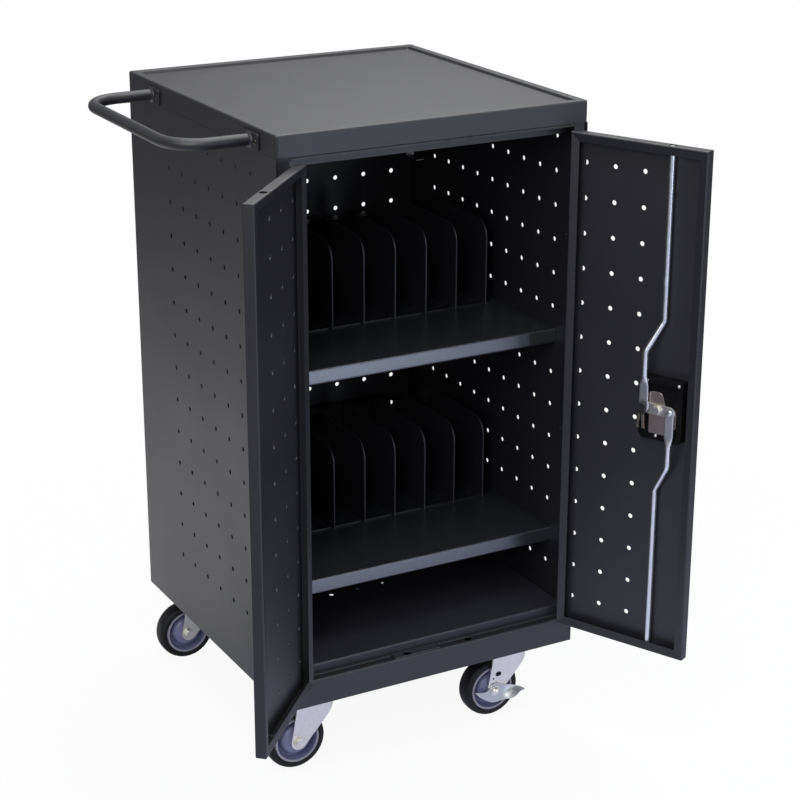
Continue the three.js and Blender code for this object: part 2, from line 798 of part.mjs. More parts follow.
// Three-point lock: a recessed cup with a turning grip, a bracket, a cam and two rods
function buildLock(door) {
  const axisX = alongDoor(1, lockAlong);
  const cupLow = LOCK_HEIGHT - CUP_BELOW_AXIS;
  const cupHigh = cupLow + CUP_HEIGHT;
  const cupFloor = faceY + CUP_DEPTH;
  const cupFace = faceY - FIT - CUP_WALL;
  const shaftHole = LOCK_SHAFT + 3 * FIT;

  const cup = cut(
    join(
      block(axisX - CUP_WIDTH / 2, axisX + CUP_WIDTH / 2, cupFace, cupFloor, cupLow, cupHigh),
      block(
        axisX - CUP_WIDTH / 2 - CUP_FLANGE,
        axisX + CUP_WIDTH / 2 + CUP_FLANGE,
        cupFace,
        faceY - FIT,
        cupLow - CUP_FLANGE,
        cupHigh + CUP_FLANGE,
      ),
    ),
    block(
      axisX - CUP_WIDTH / 2 + CUP_WALL,
      axisX + CUP_WIDTH / 2 - CUP_WALL,
      cupFace - CUP_WALL,
      cupFloor - CUP_WALL,
      cupLow + CUP_WALL,
      cupHigh - CUP_WALL,
    ),
    barAlongY(axisX, LOCK_HEIGHT, faceY, cupFloor + CUP_WALL, shaftHole),
  );
  addPiece(door, "lock_cup", cup, blackPlastic());

  const bracketFront = cupFloor + FIT;
  const bracketBack = bracketFront + BRACKET_PLATE;
  const lobe = BRACKET_LOBE / 2;
  const lobeCentre = BRACKET_ABOVE_AXIS - lobe;
  const lobeShift = BRACKET_LOBE / 8;
  const plate = outline([
    [-BRACKET_SKIRT / 2, -BRACKET_BELOW_AXIS],
    [BRACKET_SKIRT / 2, -BRACKET_BELOW_AXIS],
    [BRACKET_SKIRT / 2, 0],
    [lobeShift + lobe, lobeCentre],
  ]);
  plate.absarc(lobeShift, lobeCentre, lobe, 0, Math.PI, false);
  plate.lineTo(-BRACKET_SKIRT / 2, lobeCentre / 2);
  plate.lineTo(-BRACKET_ARM, 0);
  plate.lineTo(-BRACKET_ARM, -BRACKET_BELOW_AXIS * 0.75);
  addPiece(
    door,
    "lock_bracket",
    cut(
      thickenAlongY(plate, bracketFront, bracketBack).translate(axisX, 0, LOCK_HEIGHT),
      barAlongY(axisX, LOCK_HEIGHT, bracketFront - FIT, bracketBack + FIT, shaftHole),
    ),
    zinc(),
  );

  const camFront = bracketBack + FIT;
  const camBack = camFront + CAM_PLATE;
  const arms = new THREE.Shape();
  arms.absarc(CAM_ARM, 0, CAM_END / 2, -Math.PI / 2, Math.PI / 2, false);
  arms.absarc(-CAM_ARM, 0, CAM_END / 2, Math.PI / 2, (3 * Math.PI) / 2, false);
  addPiece(
    door,
    "lock_cam",
    cut(
      thickenAlongY(arms, camFront, camBack).translate(axisX, 0, LOCK_HEIGHT),
      barAlongY(axisX, LOCK_HEIGHT, camFront - FIT, camBack + FIT, shaftHole),
    ),
    zinc(),
  );

  // The grip, its shaft and the nut that holds the cam on it
  const gripBack = cupFloor - CUP_WALL - FIT;
  const gripFront = gripBack - GRIP_DEPTH;
  const nutFront = camBack + FIT;
  addPiece(
    door,
    "turn_handle",
    join(
      block(
        axisX - GRIP_WIDTH / 2,
        axisX + GRIP_WIDTH / 2,
        gripFront,
        gripBack - GRIP_DEPTH / 3,
        LOCK_HEIGHT - GRIP_LENGTH / 2,
        LOCK_HEIGHT + GRIP_LENGTH / 2,
      ),
      barAlongY(axisX, LOCK_HEIGHT, gripFront, gripBack, GRIP_HUB),
      barAlongY(axisX, LOCK_HEIGHT, gripFront, nutFront + CAM_NUT_HEIGHT, LOCK_SHAFT),
      barAlongY(axisX, LOCK_HEIGHT, nutFront, nutFront + CAM_NUT_HEIGHT, CAM_NUT, 6),
    ),
    zinc(),
  );

  // The rods run inside the pan and jog out to flat blades that lie over the cam's arms
  const bladeFront = camBack + FIT;
  const bladeBack = bladeFront + BLADE_PLATE;
  const rodY = faceY + ROD_DEPTH;
  const bladeY = (bladeFront + bladeBack) / 2;
  const rodAxisX = alongDoor(1, rodAlong);
  const rods = [
    {
      name: "upper_lock_rod",
      eyeX: axisX + CAM_ARM,
      up: 1,
      blade: UPPER_BLADE,
      jog: LOCK_HEIGHT + JOG_DISTANCE,
      tip: doorTop - ROD_END,
    },
    {
      name: "lower_lock_rod",
      eyeX: axisX - CAM_ARM,
      up: -1,
      blade: LOWER_BLADE,
      jog: LOCK_HEIGHT - JOG_DISTANCE,
      tip: doorBottom + ROD_END,
    },
  ];
  for (const { name, eyeX, up, blade, jog, tip } of rods) {
    const bladeEnd = LOCK_HEIGHT + up * blade;
    const bar = bentBar(
      [
        [rodAxisX, rodY, tip],
        [rodAxisX, rodY, jog],
        [eyeX, bladeY, jog - up * JOG_HEIGHT],
        [eyeX, bladeY, bladeEnd - (up * BLADE_WIDTH) / 2],
      ],
      ROD_BEND,
      ROD,
      ROD_SIDES,
    );
    const eye = new THREE.Shape();
    eye.absarc(0, 0, BLADE_WIDTH / 2, up > 0 ? Math.PI : 0, up > 0 ? 2 * Math.PI : Math.PI, false);
    eye.lineTo((up * BLADE_WIDTH) / 2, up * (blade - BLADE_WIDTH / 2));
    eye.lineTo((up * ROD) / 2, up * blade);
    eye.lineTo((-up * ROD) / 2, up * blade);
    eye.lineTo((-up * BLADE_WIDTH) / 2, up * (blade - BLADE_WIDTH / 2));
    addPiece(
      door,
      name,
      join(
        bar,
        thickenAlongY(eye, bladeFront, bladeBack).translate(eyeX, 0, LOCK_HEIGHT),
        barAlongY(eyeX, LOCK_HEIGHT, bladeFront, bladeBack + RIVET_HEIGHT, RIVET),
      ),
      zinc(),
    );
  }
  buildKeys(door, axisX + CAM_ARM, bladeBack + RIVET_HEIGHT + FIT);
  return { axisX, cupLow, cupHigh };
}

// Two keys side by side under one black head
function buildKeys(door, x, front) {
  const back = front + KEY_HEAD_DEPTH;
  const middleY = (front + back) / 2;
  const blades = [-1, 1].map((side) =>
    block(
      -KEY_BLADE_WIDTH / 2,
      KEY_BLADE_WIDTH / 2,
      middleY - KEY_BLADE_DEPTH / 2,
      middleY + KEY_BLADE_DEPTH / 2,
      -KEY_HEAD_HEIGHT / 2 - KEY_BLADE_LENGTH,
      0,
    )
      .rotateY(THREE.MathUtils.degToRad(-side * KEY_SPREAD))
      .translate(x + (side * KEY_BLADE_WIDTH) / 2, 0, LOCK_HEIGHT),
  );
  const head = block(
    x - KEY_HEAD_WIDTH / 2,
    x + KEY_HEAD_WIDTH / 2,
    front,
    back,
    LOCK_HEIGHT - KEY_HEAD_HEIGHT / 2,
    LOCK_HEIGHT + KEY_HEAD_HEIGHT / 2,
  );
  addPiece(door, "key_pair", join(head, ...blades), brass());
}

function buildDoors() {
  const left = new THREE.Group();
  left.position.set(-hingeX, -HINGE_PROUD, 0);
  left.rotation.z = THREE.MathUtils.degToRad(-LEFT_DOOR_OPEN);
  cart.add(left);
  addPiece(left, "left_door", doorPan(-1), powderCoat());
  buildHinges(-1, "left", left);

  const right = new THREE.Group();
  right.position.set(hingeX, -HINGE_PROUD, 0);
  right.rotation.z = THREE.MathUtils.degToRad(RIGHT_DOOR_OPEN);
  cart.add(right);
  const lock = buildLock(right);
  const cutout = block(
    lock.axisX - CUP_WIDTH / 2 - FIT,
    lock.axisX + CUP_WIDTH / 2 + FIT,
    faceY - SHEET,
    faceY + 2 * SHEET,
    lock.cupLow - FIT,
    lock.cupHigh + FIT,
  );
  addPiece(right, "right_door", cut(doorPan(1), cutout), powderCoat());
  buildHinges(1, "right", right);
}

// Casters: each stands in a group at its swivel axis, with its wheel trailing to the left
const wheelRadius = WHEEL_DIAMETER / 2;
const axleZ = wheelRadius - BASE_CLEARANCE;
const plateFoot = -FIT - CASTER_PLATE;
const raceFoot = plateFoot - RACE_HEIGHT;
const crownTop = raceFoot - FIT;
const crownFoot = crownTop - FORK_PLATE;
const legInner = HUB_BOSS_WIDTH / 2 + FIT;
const legOuter = legInner + FORK_PLATE;

// Mounting plate with its bearing race and the kingpin that holds the fork
function casterPlate() {
  return join(
    block(
      -CASTER_PLATE_LENGTH / 2,
      CASTER_PLATE_LENGTH / 2,
      -CASTER_PLATE_WIDTH / 2,
      CASTER_PLATE_WIDTH / 2,
      plateFoot,
      -FIT,
    ),
    barAlongZ(0, 0, raceFoot, plateFoot, RACE, WHEEL_SIDES),
    barAlongZ(0, 0, crownFoot - FIT - KINGPIN_HEAD_HEIGHT, raceFoot, KINGPIN),
    barAlongZ(0, 0, crownFoot - FIT - KINGPIN_HEAD_HEIGHT, crownFoot - FIT, KINGPIN_HEAD),
  );
}

// Pressed fork: a crown under the race and a wall that wraps the leading side and tapers back to the axle
function casterFork() {
  const end = FORK_END / 2;
  const back = -CASTER_TRAIL - end;
  const bendX = FORK_FRONT_REACH - FORK_CORNER;
  const bendY = legOuter - FORK_CORNER;
  const innerBend = FORK_CORNER - FORK_PLATE;
  const wall = new THREE.Shape();
  wall.moveTo(back, -legOuter);
  wall.absarc(bendX, -bendY, FORK_CORNER, -Math.PI / 2, 0, false);
  wall.absarc(bendX, bendY, FORK_CORNER, 0, Math.PI / 2, false);
  wall.lineTo(back, legOuter);
  wall.lineTo(back, legInner);
  wall.absarc(bendX, bendY, innerBend, Math.PI / 2, 0, true);
  wall.absarc(bendX, -bendY, innerBend, 0, -Math.PI / 2, true);
  wall.lineTo(back, -legInner);
  const crown = new THREE.Shape();
  crown.moveTo(-CASTER_TRAIL, -legOuter);
  crown.absarc(bendX, -bendY, FORK_CORNER, -Math.PI / 2, 0, false);
  crown.absarc(bendX, bendY, FORK_CORNER, 0, Math.PI / 2, false);
  crown.lineTo(-CASTER_TRAIL, legOuter);
  const side = new THREE.Shape();
  side.moveTo(FORK_FRONT_REACH + FIT, crownTop);
  side.lineTo(-CASTER_TRAIL, crownTop);
  side.lineTo(back, axleZ);
  side.absarc(-CASTER_TRAIL, axleZ, end, Math.PI, 2 * Math.PI - Math.PI / 4, false);
  side.lineTo(FORK_FRONT_REACH + FIT, crownFoot - end);
  const fork = join(
    meet(
      raise(wall, axleZ - FORK_END, crownTop, 3),
      thickenAlongY(side, -legOuter - FIT, legOuter + FIT),
    ),
    raise(crown, crownFoot, crownTop, 3),
  );
  return cut(
    fork,
    barAlongZ(0, 0, crownFoot - FIT, crownTop + FIT, KINGPIN + 4 * FIT),
    barAlongY(-CASTER_TRAIL, axleZ, -legOuter - FIT, legOuter + FIT, AXLE + 3 * FIT),
  );
}

// Axle bolt with its head and nut
function casterAxle(headGap) {
  const headFace = legOuter + FIT + headGap;
  const nutFace = legOuter + FIT;
  return join(
    barAlongY(-CASTER_TRAIL, axleZ, -headFace - AXLE_HEAD_HEIGHT, nutFace + AXLE_HEAD_HEIGHT, AXLE),
    barAlongY(-CASTER_TRAIL, axleZ, -headFace - AXLE_HEAD_HEIGHT, -headFace, AXLE_HEAD, 6),
    barAlongY(-CASTER_TRAIL, axleZ, nutFace, nutFace + AXLE_HEAD_HEIGHT, AXLE_HEAD, 6),
  );
}

// Wheel centre: a boss on the axle, a thin web and a rim that carries the tyre
function wheelHub() {
  const rim = wheelRadius - TYRE_DEPTH - FIT;
  const rimInner = rim - TYRE_DEPTH / 2;
  const bore = AXLE / 2 + FIT;
  const boss = HUB_BOSS / 2;
  const bossHalf = HUB_BOSS_WIDTH / 2;
  const rimHalf = WHEEL_WIDTH / 2;
  return turned([
    [bore, -bossHalf],
    [boss, -bossHalf],
    [boss + FORK_PLATE, -HUB_WEB / 2],
    [rimInner, -HUB_WEB / 2],
    [rimInner, -rimHalf],
    [rim, -rimHalf],
    [rim, rimHalf],
    [rimInner, rimHalf],
    [rimInner, HUB_WEB / 2],
    [boss + FORK_PLATE, HUB_WEB / 2],
    [boss, bossHalf],
    [bore, bossHalf],
  ]).translate(-CASTER_TRAIL, 0, axleZ);
}

// Tyre: a band with rounded shoulders
function wheelTyre() {
  const seat = wheelRadius - TYRE_DEPTH;
  const shoulder = WHEEL_WIDTH / 4;
  const tyreHalf = WHEEL_WIDTH / 2;
  return turned([
    [seat, -tyreHalf],
    [wheelRadius - shoulder / 2, -tyreHalf],
    [wheelRadius, -tyreHalf + shoulder],
    [wheelRadius, tyreHalf - shoulder],
    [wheelRadius - shoulder / 2, tyreHalf],
    [seat, tyreHalf],
  ]).translate(-CASTER_TRAIL, 0, axleZ);
}

// Side-lock pedal: a lever on the axle in front of the fork, with a tongue for the foot and a release tail
function brakePedal() {
  const back = -legOuter - FIT;
  const front = back - PEDAL_PLATE;
  const high = PEDAL_HEIGHT / 2;
  const far = PEDAL_REACH;
  const lever = outline([
    [-PEDAL_TAIL, 0],
    [-PEDAL_TAIL * 0.55, -high * 0.8],
    [-high * 0.4, -high],
    [far * 0.6, -high * 0.8],
    [far, high * 0.4],
    [far, high],
    [-high * 0.5, high],
    [-high, high * 0.3],
    [-PEDAL_TAIL * 0.7, -high * 0.25],
  ]);
  const tongue = outline([
    [back, high],
    [back, high - PEDAL_PLATE],
    [front - PEDAL_TONGUE, high - PEDAL_TONGUE_DROP - PEDAL_PLATE],
    [front - PEDAL_TONGUE, high - PEDAL_TONGUE_DROP],
  ]);
  const room = AXLE_HEAD / 2 + FIT;
  return cut(
    join(thickenAlongY(lever, front, back), sweepAlongX(tongue, far - PEDAL_TONGUE_WIDTH, far)),
    barAlongY(0, 0, front - FIT, back + FIT, AXLE + 4 * FIT),
    block(-room, room, front - PEDAL_TONGUE - FIT, front - FIT, -room, high + FIT),
  ).translate(-CASTER_TRAIL, 0, axleZ);
}

function buildCasters() {
  const corners = [
    { name: "front_left", x: -casterX, y: CASTER_FRONT_INSET, braked: false },
    { name: "front_right", x: casterX, y: CASTER_FRONT_INSET, braked: true },
    { name: "rear_left", x: -casterX, y: casterRear, braked: false },
    { name: "rear_right", x: casterX, y: casterRear, braked: true },
  ];
  for (const { name, x, y, braked } of corners) {
    const caster = new THREE.Group();
    caster.position.set(x, y, 0);
    cart.add(caster);
    const headGap = braked ? PEDAL_PLATE + FIT : 0;
    addPiece(caster, `${name}_caster_plate`, casterPlate(), zinc());
    addPiece(caster, `${name}_fork`, casterFork(), zinc());
    addPiece(caster, `${name}_axle`, casterAxle(headGap), zinc());
    addPiece(caster, `${name}_hub`, wheelHub(), hubPlastic());
    addPiece(caster, `${name}_tyre`, wheelTyre(), tyreRubber());
    if (braked) addPiece(caster, `${name}_brake_pedal`, brakePedal(), zinc());
  }
}

buildShell();
buildFrontFrame();
for (const [name, height] of [["upper", UPPER_SHELF_HEIGHT], ["lower", LOWER_SHELF_HEIGHT]]) {
  addPiece(cart, `${name}_shelf`, shelfGeometry(height), powderCoat());
  addPiece(cart, `${name}_divider_rack`, dividerGeometry(height), powderCoat());
  buildPowerStrip(name, height);
}
buildHandle();
buildDoors();
buildCasters();

// The origin is on the floor under the middle of the cart's box, with the doors as they stand
cart.updateMatrixWorld(true);
const box = new THREE.Box3().setFromObject(cart, true);
const middle = box.getCenter(new THREE.Vector3());
cart.position.set(-middle.x, -middle.y, -box.min.z);

export default cart;
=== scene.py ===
"""Finishes and fine shapes of a laptop charging cart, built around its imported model."""
import math

import bmesh
import bpy
from bpy.props import FloatProperty, FloatVectorProperty, IntProperty, PointerProperty
from mathutils import Matrix, Vector


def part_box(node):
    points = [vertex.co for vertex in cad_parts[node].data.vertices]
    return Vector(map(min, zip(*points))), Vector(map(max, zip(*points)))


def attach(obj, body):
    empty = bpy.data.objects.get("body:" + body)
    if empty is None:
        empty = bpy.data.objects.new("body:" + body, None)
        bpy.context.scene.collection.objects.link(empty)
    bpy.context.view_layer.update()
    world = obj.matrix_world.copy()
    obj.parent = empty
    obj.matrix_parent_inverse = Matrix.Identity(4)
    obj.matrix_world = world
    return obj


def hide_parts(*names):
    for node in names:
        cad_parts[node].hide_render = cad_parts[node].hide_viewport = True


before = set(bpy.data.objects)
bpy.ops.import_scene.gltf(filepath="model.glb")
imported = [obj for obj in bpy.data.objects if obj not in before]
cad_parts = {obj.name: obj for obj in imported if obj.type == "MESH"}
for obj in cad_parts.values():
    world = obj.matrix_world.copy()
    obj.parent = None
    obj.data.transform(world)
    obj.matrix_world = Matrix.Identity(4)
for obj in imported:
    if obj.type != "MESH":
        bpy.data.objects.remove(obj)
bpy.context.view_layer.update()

bl_info = {
    "name": "Laptop charging cart",
    "version": (1, 0, 0),
    "blender": (4, 5, 0),
    "location": "View3D > Sidebar > Cart",
    "description": "Builds the visible pieces and finishes of a laptop charging cart",
    "category": "Object",
}

# Places. Pieces are drawn in millimetres: x from the middle to the right, y from the front plane to
# the back, z up from the underside of the base.
CAP_LOW, CAP_HIGH = (Vector(corner) * 1000 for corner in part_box("top_cap"))
BASE_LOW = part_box("base_plate")[0][2] * 1000
WIDTH = CAP_HIGH.x - CAP_LOW.x
DEPTH = CAP_HIGH.y - CAP_LOW.y
HEIGHT = CAP_HIGH.z - BASE_LOW
CAP_BOTTOM = CAP_LOW.z - BASE_LOW
HALF = WIDTH / 2
FIT = 0.3

CABINET = Matrix.Scale(0.001, 4) @ Matrix.Translation((CAP_LOW.x + HALF, CAP_LOW.y, BASE_LOW))

# Doors are drawn closed up against their own edge: x along the door from its hinge edge, y inwards
# from its face, z up.
HINGE_X, HINGE_Y = 250.0, -4.5
HINGE_OFFSET = 4.0
DOOR_WIDTH, DOOR_THICKNESS = 244.0, 19.0
DOOR_BOTTOM, DOOR_TOP = 51.0, 909.0
LEFT_OPEN, RIGHT_OPEN = math.radians(133.5), math.radians(115)
RIGHT_DOOR = (
    CABINET
    @ Matrix.Translation((HINGE_X, HINGE_Y, 0))
    @ Matrix.Rotation(RIGHT_OPEN, 4, "Z")
    @ Matrix.Translation((-HINGE_OFFSET, -HINGE_Y, 0))
    @ Matrix.Scale(-1, 4, (1, 0, 0))
)
LEFT_DOOR = (
    CABINET
    @ Matrix.Translation((-HINGE_X, HINGE_Y, 0))
    @ Matrix.Rotation(-LEFT_OPEN, 4, "Z")
    @ Matrix.Translation((HINGE_OFFSET, -HINGE_Y, 0))
)
HINGE_LEVELS = {"lower": DOOR_BOTTOM + 110, "upper": DOOR_TOP - 110}

LOCK_X, LOCK_Z = 180.0, 482.0
ROD_X, ROD_Y = {"upper": 178.0, "lower": 174.5}, 9.5
SPARE_ROD_X = 176.0
SHELVES = {"upper": 550.0, "lower": 186.0}
SHELF_FRONT, SHELF_REAR = 74.0, 530.0
LIP_LEAN = 3.5
REAR_INNER = DEPTH - 3.3
STRIKE_X = {name: HINGE_X - HINGE_OFFSET - x for name, x in ROD_X.items()}
DRAINS = (-117.0, -65.5, -14.0, 37.5)
CASTERS = {
    "front_left": (-190, 66),
    "front_right": (190, 66),
    "rear_left": (-190, 526),
    "rear_right": (190, 526),
}
BRAKED = ("front_right", "rear_right")
TRAIL, AXLE_Z = 42.0, -86.5


class CartSizes(bpy.types.PropertyGroup):
    """Sizes of the sheet metal, the perforations and the turned pieces."""

    sheet: FloatProperty(
        name="Sheet", description="Thickness of the folded steel", default=0.0015, unit="LENGTH"
    )
    bend: FloatProperty(
        name="Bend", description="Inner radius of the folds", default=0.0011, unit="LENGTH"
    )
    hole: FloatProperty(
        name="Hole", description="Diameter of the perforations", default=0.008, unit="LENGTH"
    )
    hole_pitch: FloatProperty(
        name="Hole pitch", description="Height between rows of holes", default=0.0582, unit="LENGTH"
    )
    rod: FloatProperty(
        name="Rod", description="Diameter of the lock rods", default=0.0095, unit="LENGTH"
    )
    handle_tube: FloatProperty(
        name="Handle tube", description="Diameter of the push handle", default=0.019, unit="LENGTH"
    )
    slots: IntProperty(name="Slots", description="Places on each shelf", default=8, min=1)
    slot_pitch: FloatProperty(
        name="Slot pitch", description="Distance between dividers", default=0.06, unit="LENGTH"
    )


def colour_property(name, description, default):
    return FloatVectorProperty(
        name=name, description=description, default=default, subtype="COLOR", min=0, max=1
    )


class CartFinish(bpy.types.PropertyGroup):
    """Base colours of the finishes."""

    # The coat's faint blue is partly its own tint and partly a painted blue cast of the light in front.
    coat: colour_property("Coat", "Powder coat of the cabinet", (0.0097, 0.0097, 0.0145))
    # The shelf coat is lighter and bluer than the cabinet's: partly its own tone, partly a painted sheen of the front
    # light on the shelf lips.
    shelf: colour_property("Shelf", "Powder coat of the shelves", (0.014, 0.0145, 0.018))
    zinc: colour_property("Zinc", "Bright plating of the casters", (0.90, 0.88, 0.82))
    # The rods' blue tint is partly the blue of their plating and partly a painted blue cast of the light they reflect.
    rod: colour_property("Rod", "Bright plating of the lock rods", (0.96, 0.99, 1.0))
    # The lock plate's warm tone is partly its yellowish passivated zinc and partly a painted reflection of warm
    # surroundings.
    warm_zinc: colour_property("Warm zinc", "Passivated plate of the lock", (0.62, 0.52, 0.47))
    plastic: colour_property("Plastic", "Moulded black pieces", (0.014, 0.014, 0.016))
    hub: colour_property("Hub", "Wheel centres", (0.150, 0.157, 0.265))
    # The paler ring colour is a painted highlight along the rim's edge.
    hub_ring_painted_highlight: colour_property("Hub ring", "Outer ring of the wheel centres", (0.25, 0.245, 0.29))
    tyre: colour_property("Tyre", "Solid tyres", (0.007, 0.007, 0.008))
    brass: colour_property("Brass", "Keys", (0.55, 0.45, 0.36))


def size(name):
    """A size of the cart in millimetres."""
    return getattr(bpy.context.scene.cart_sizes, name) * 1000


# Node graphs


class Sock:
    """An output of a node. Arithmetic on it adds Math nodes."""

    def __init__(self, graph, out):
        self.graph = graph
        self.out = out

    def _math(self, operation, a, b):
        return self.graph.node("ShaderNodeMath", {"operation": operation}, {0: a, 1: b})

    def __add__(self, other):
        return self._math("ADD", self, other)

    __radd__ = __add__

    def __sub__(self, other):
        return self._math("SUBTRACT", self, other)

    def __rsub__(self, other):
        return self._math("SUBTRACT", other, self)

    def __mul__(self, other):
        return self._math("MULTIPLY", self, other)

    __rmul__ = __mul__

    def above(self, edge, softness):
        """0 below an edge and 1 beyond it, with a soft step between."""
        sockets = {"Value": self, "From Min": edge - softness, "From Max": edge + softness}
        return self.graph.node("ShaderNodeMapRange", {"clamp": True}, sockets)


class Graph:
    """A node tree that is filled from expressions."""

    def __init__(self, tree):
        self.tree = tree
        tree.nodes.clear()

    def node(self, kind, settings=None, sockets=None, out=0):
        made = self.tree.nodes.new(kind)
        for key, value in (settings or {}).items():
            setattr(made, key, value)
        for key, value in (sockets or {}).items():
            for item in value if isinstance(value, list) else [value]:
                if isinstance(item, Sock):
                    self.tree.links.new(item.out, made.inputs[key])
                else:
                    made.inputs[key].default_value = item
        return Sock(self, made.outputs[out]) if made.outputs else None

    def mix(self, a, b, factor):
        """A colour between two colours."""
        colours = [(*c, 1) if isinstance(c, tuple) else c for c in (a, b)]
        sockets = {0: factor, 6: colours[0], 7: colours[1]}
        return self.node("ShaderNodeMix", {"data_type": "RGBA"}, sockets, out=2)

    def noise(self, where, scale, detail=2.0, roughness=0.5):
        sockets = {"Vector": where, "Scale": scale, "Detail": detail, "Roughness": roughness}
        return self.node("ShaderNodeTexNoise", None, sockets)

    def stretched(self, where, scale):
        return self.node("ShaderNodeMapping", None, {"Vector": where, "Scale": scale})

    def bump(self, height, strength, distance):
        sockets = {"Height": height, "Strength": strength, "Distance": distance}
        return self.node("ShaderNodeBump", None, sockets)

    def surface(self, sockets):
        shader = self.node("ShaderNodeBsdfPrincipled", None, sockets)
        self.node("ShaderNodeOutputMaterial", None, {"Surface": shader})


def shaded(colour, amount):
    """A colour made lighter or darker."""
    return tuple(channel * amount for channel in colour)


def new_finish(name):
    material = bpy.data.materials.new(name)
    material.use_nodes = True
    graph = Graph(material.node_tree)
    return material, graph, graph.node("ShaderNodeTexCoord", out="Object")


def powder_coat(name, coat, shine=0.80, glaze=0.0, tint=(1, 1, 1)):
    """Black powder coat with a fine grain, faint clouding and small rubbed spots."""
    material, g, where = new_finish(name)
    coat = tuple(coat)
    grain = g.noise(where, 1500, 2, 0.6)
    peel = g.noise(where, 260, 1)
    cloud = g.noise(where, 5, 3)
    rubbed = g.noise(where, 55, 6, 0.7).above(0.69, 0.03)
    base = g.mix(shaded(coat, 0.85), shaded(coat, 1.25), cloud)
    g.surface({
        "Base Color": g.mix(base, shaded(coat, 2.2), rubbed * 0.35),
        "Roughness": cloud * 0.14 + grain * 0.10 + 0.34 - rubbed * 0.06,
        "Normal": g.bump(grain * 0.6 + peel * 0.4, 0.30, 0.00035),
        "Specular IOR Level": shine,
        "Specular Tint": (*tint, 1),
        "Coat Weight": glaze,
        "Coat Roughness": 0.3,
        "Coat IOR": 1.85,
    })
    return material


def plated(name, colour, warmth, gloss=0.28):
    """Bright plating with fine brush marks, a soft spangle and dull spots."""
    material, g, where = new_finish(name)
    colour = tuple(colour)
    marks = g.noise(g.stretched(where, (900, 900, 60)), 1, 3)
    spangle = g.node("ShaderNodeTexVoronoi", {"feature": "F1"}, {"Vector": where, "Scale": 190}, out="Color")
    grey = g.node("ShaderNodeRGBToBW", None, {"Color": spangle})
    dull = g.noise(where, 30, 5, 0.65).above(0.62, 0.08)
    base = g.mix(shaded(colour, 0.95), shaded(colour, 1.04), grey)
    tint = (colour[0] * (1 - 0.2 * warmth), colour[1] * (1 - 0.35 * warmth), colour[2] * (1 - 0.5 * warmth))
    g.surface({
        "Base Color": g.mix(base, shaded(tint, 0.88), dull * 0.4),
        "Roughness": marks * 0.10 + dull * 0.10 + gloss,
        "Normal": g.bump(marks, 0.05, 0.0001),
        "Metallic": 1.0,
    })
    return material


def moulded(name, colour, gloss, shine=0.5):
    """Moulded plastic with an etched grain."""
    material, g, where = new_finish(name)
    colour = tuple(colour)
    grain = g.noise(where, 900, 2)
    flow = g.noise(where, 18, 4)
    g.surface({
        "Base Color": g.mix(shaded(colour, 0.8), shaded(colour, 1.25), flow),
        "Roughness": flow * 0.14 + grain * 0.08 + gloss,
        "Normal": g.bump(grain, 0.18, 0.0002),
        "Specular IOR Level": shine,
    })
    return material


def tyre_rubber(colours):
    """Solid rubber with a moulded skin and floor dust."""
    material, g, where = new_finish("tyre_rubber")
    colour = tuple(colours.tyre)
    skin = g.noise(where, 420, 4, 0.6)
    dust = g.noise(where, 45, 5, 0.7).above(0.58, 0.12)
    g.surface({
        "Base Color": g.mix(shaded(colour, 0.9), shaded(colour, 2.6), dust * 0.5),
        "Roughness": dust * 0.2 + skin * 0.1 + 0.42,
        "Normal": g.bump(skin, 0.22, 0.0004),
        "Specular IOR Level": 0.25,
    })
    return material


FINISHES = {}


def finishes():
    """The finishes, made once."""
    if not FINISHES:
        colours = bpy.context.scene.cart_finish
        FINISHES.update(
            coat=powder_coat("powder_coat", colours.coat),
            # A lighter copy of the coat is painted light: it lifts the floor pan and the sill's strike plate and
            # beads, where little lamp light reaches.
            pan=powder_coat("pan_coat", shaded(colours.coat, 2.2)),
            # Lighter shelf coat with a blue-tinted, glazed shine: partly its own tone, partly a painted sheen on the
            # lips.
            shelf=powder_coat("shelf_coat", colours.shelf, 1.0, 1.0, (0.72, 0.86, 1.0)),
            zinc=plated("bright_zinc", colours.zinc, 0.15),
            # Rod plating whose blue tint is partly a painted blue cast of reflected light.
            rod=plated("rod_zinc", colours.rod, 0.0),
            satin=plated("satin_zinc", shaded(colours.rod, 0.62), 0.1, 0.42),
            # Warm plate of the lock: its passivated tone with a painted warm reflection.
            warm=plated("warm_zinc", colours.warm_zinc, 0.5),
            dull=plated("dull_zinc", shaded(colours.zinc, 0.07), 0.15),
            plastic=moulded("black_plastic", colours.plastic, 0.34),
            black=moulded("lock_black", shaded(colours.plastic, 0.4), 0.22, 0.10),
            hub=moulded("hub_plastic", colours.hub, 0.30),
            # Paler finish of the outer hub ring, a painted highlight.
            rim=moulded("hub_rim", colours.hub_ring_painted_highlight, 0.34),
            tyre=tyre_rubber(colours),
            brass=plated("key_brass", colours.brass, 0.2),
            # Near-black finish that paints the shade inside the socket openings.
            dark=moulded("socket_dark", (0.004, 0.004, 0.005), 0.55),
        )
    return FINISHES


# Shapes


def arc(centre, radius, start, end, steps):
    """Points on an arc between two angles in degrees, both ends included."""
    turns = [math.radians(start + (end - start) * k / steps) for k in range(steps + 1)]
    return [(centre[0] + radius * math.cos(a), centre[1] + radius * math.sin(a)) for a in turns]


def rounded_rectangle(x0, x1, y0, y1, radius, steps=4):
    corners = [(x1, y0, -90), (x1, y1, 0), (x0, y1, 90), (x0, y0, 180)]
    points = []
    for x, y, start in corners:
        centre = (x - math.copysign(radius, x - x0 - 1e-9), y - math.copysign(radius, y - y0 - 1e-9))
        points += arc(centre, radius, start, start + 90, steps)
    return points


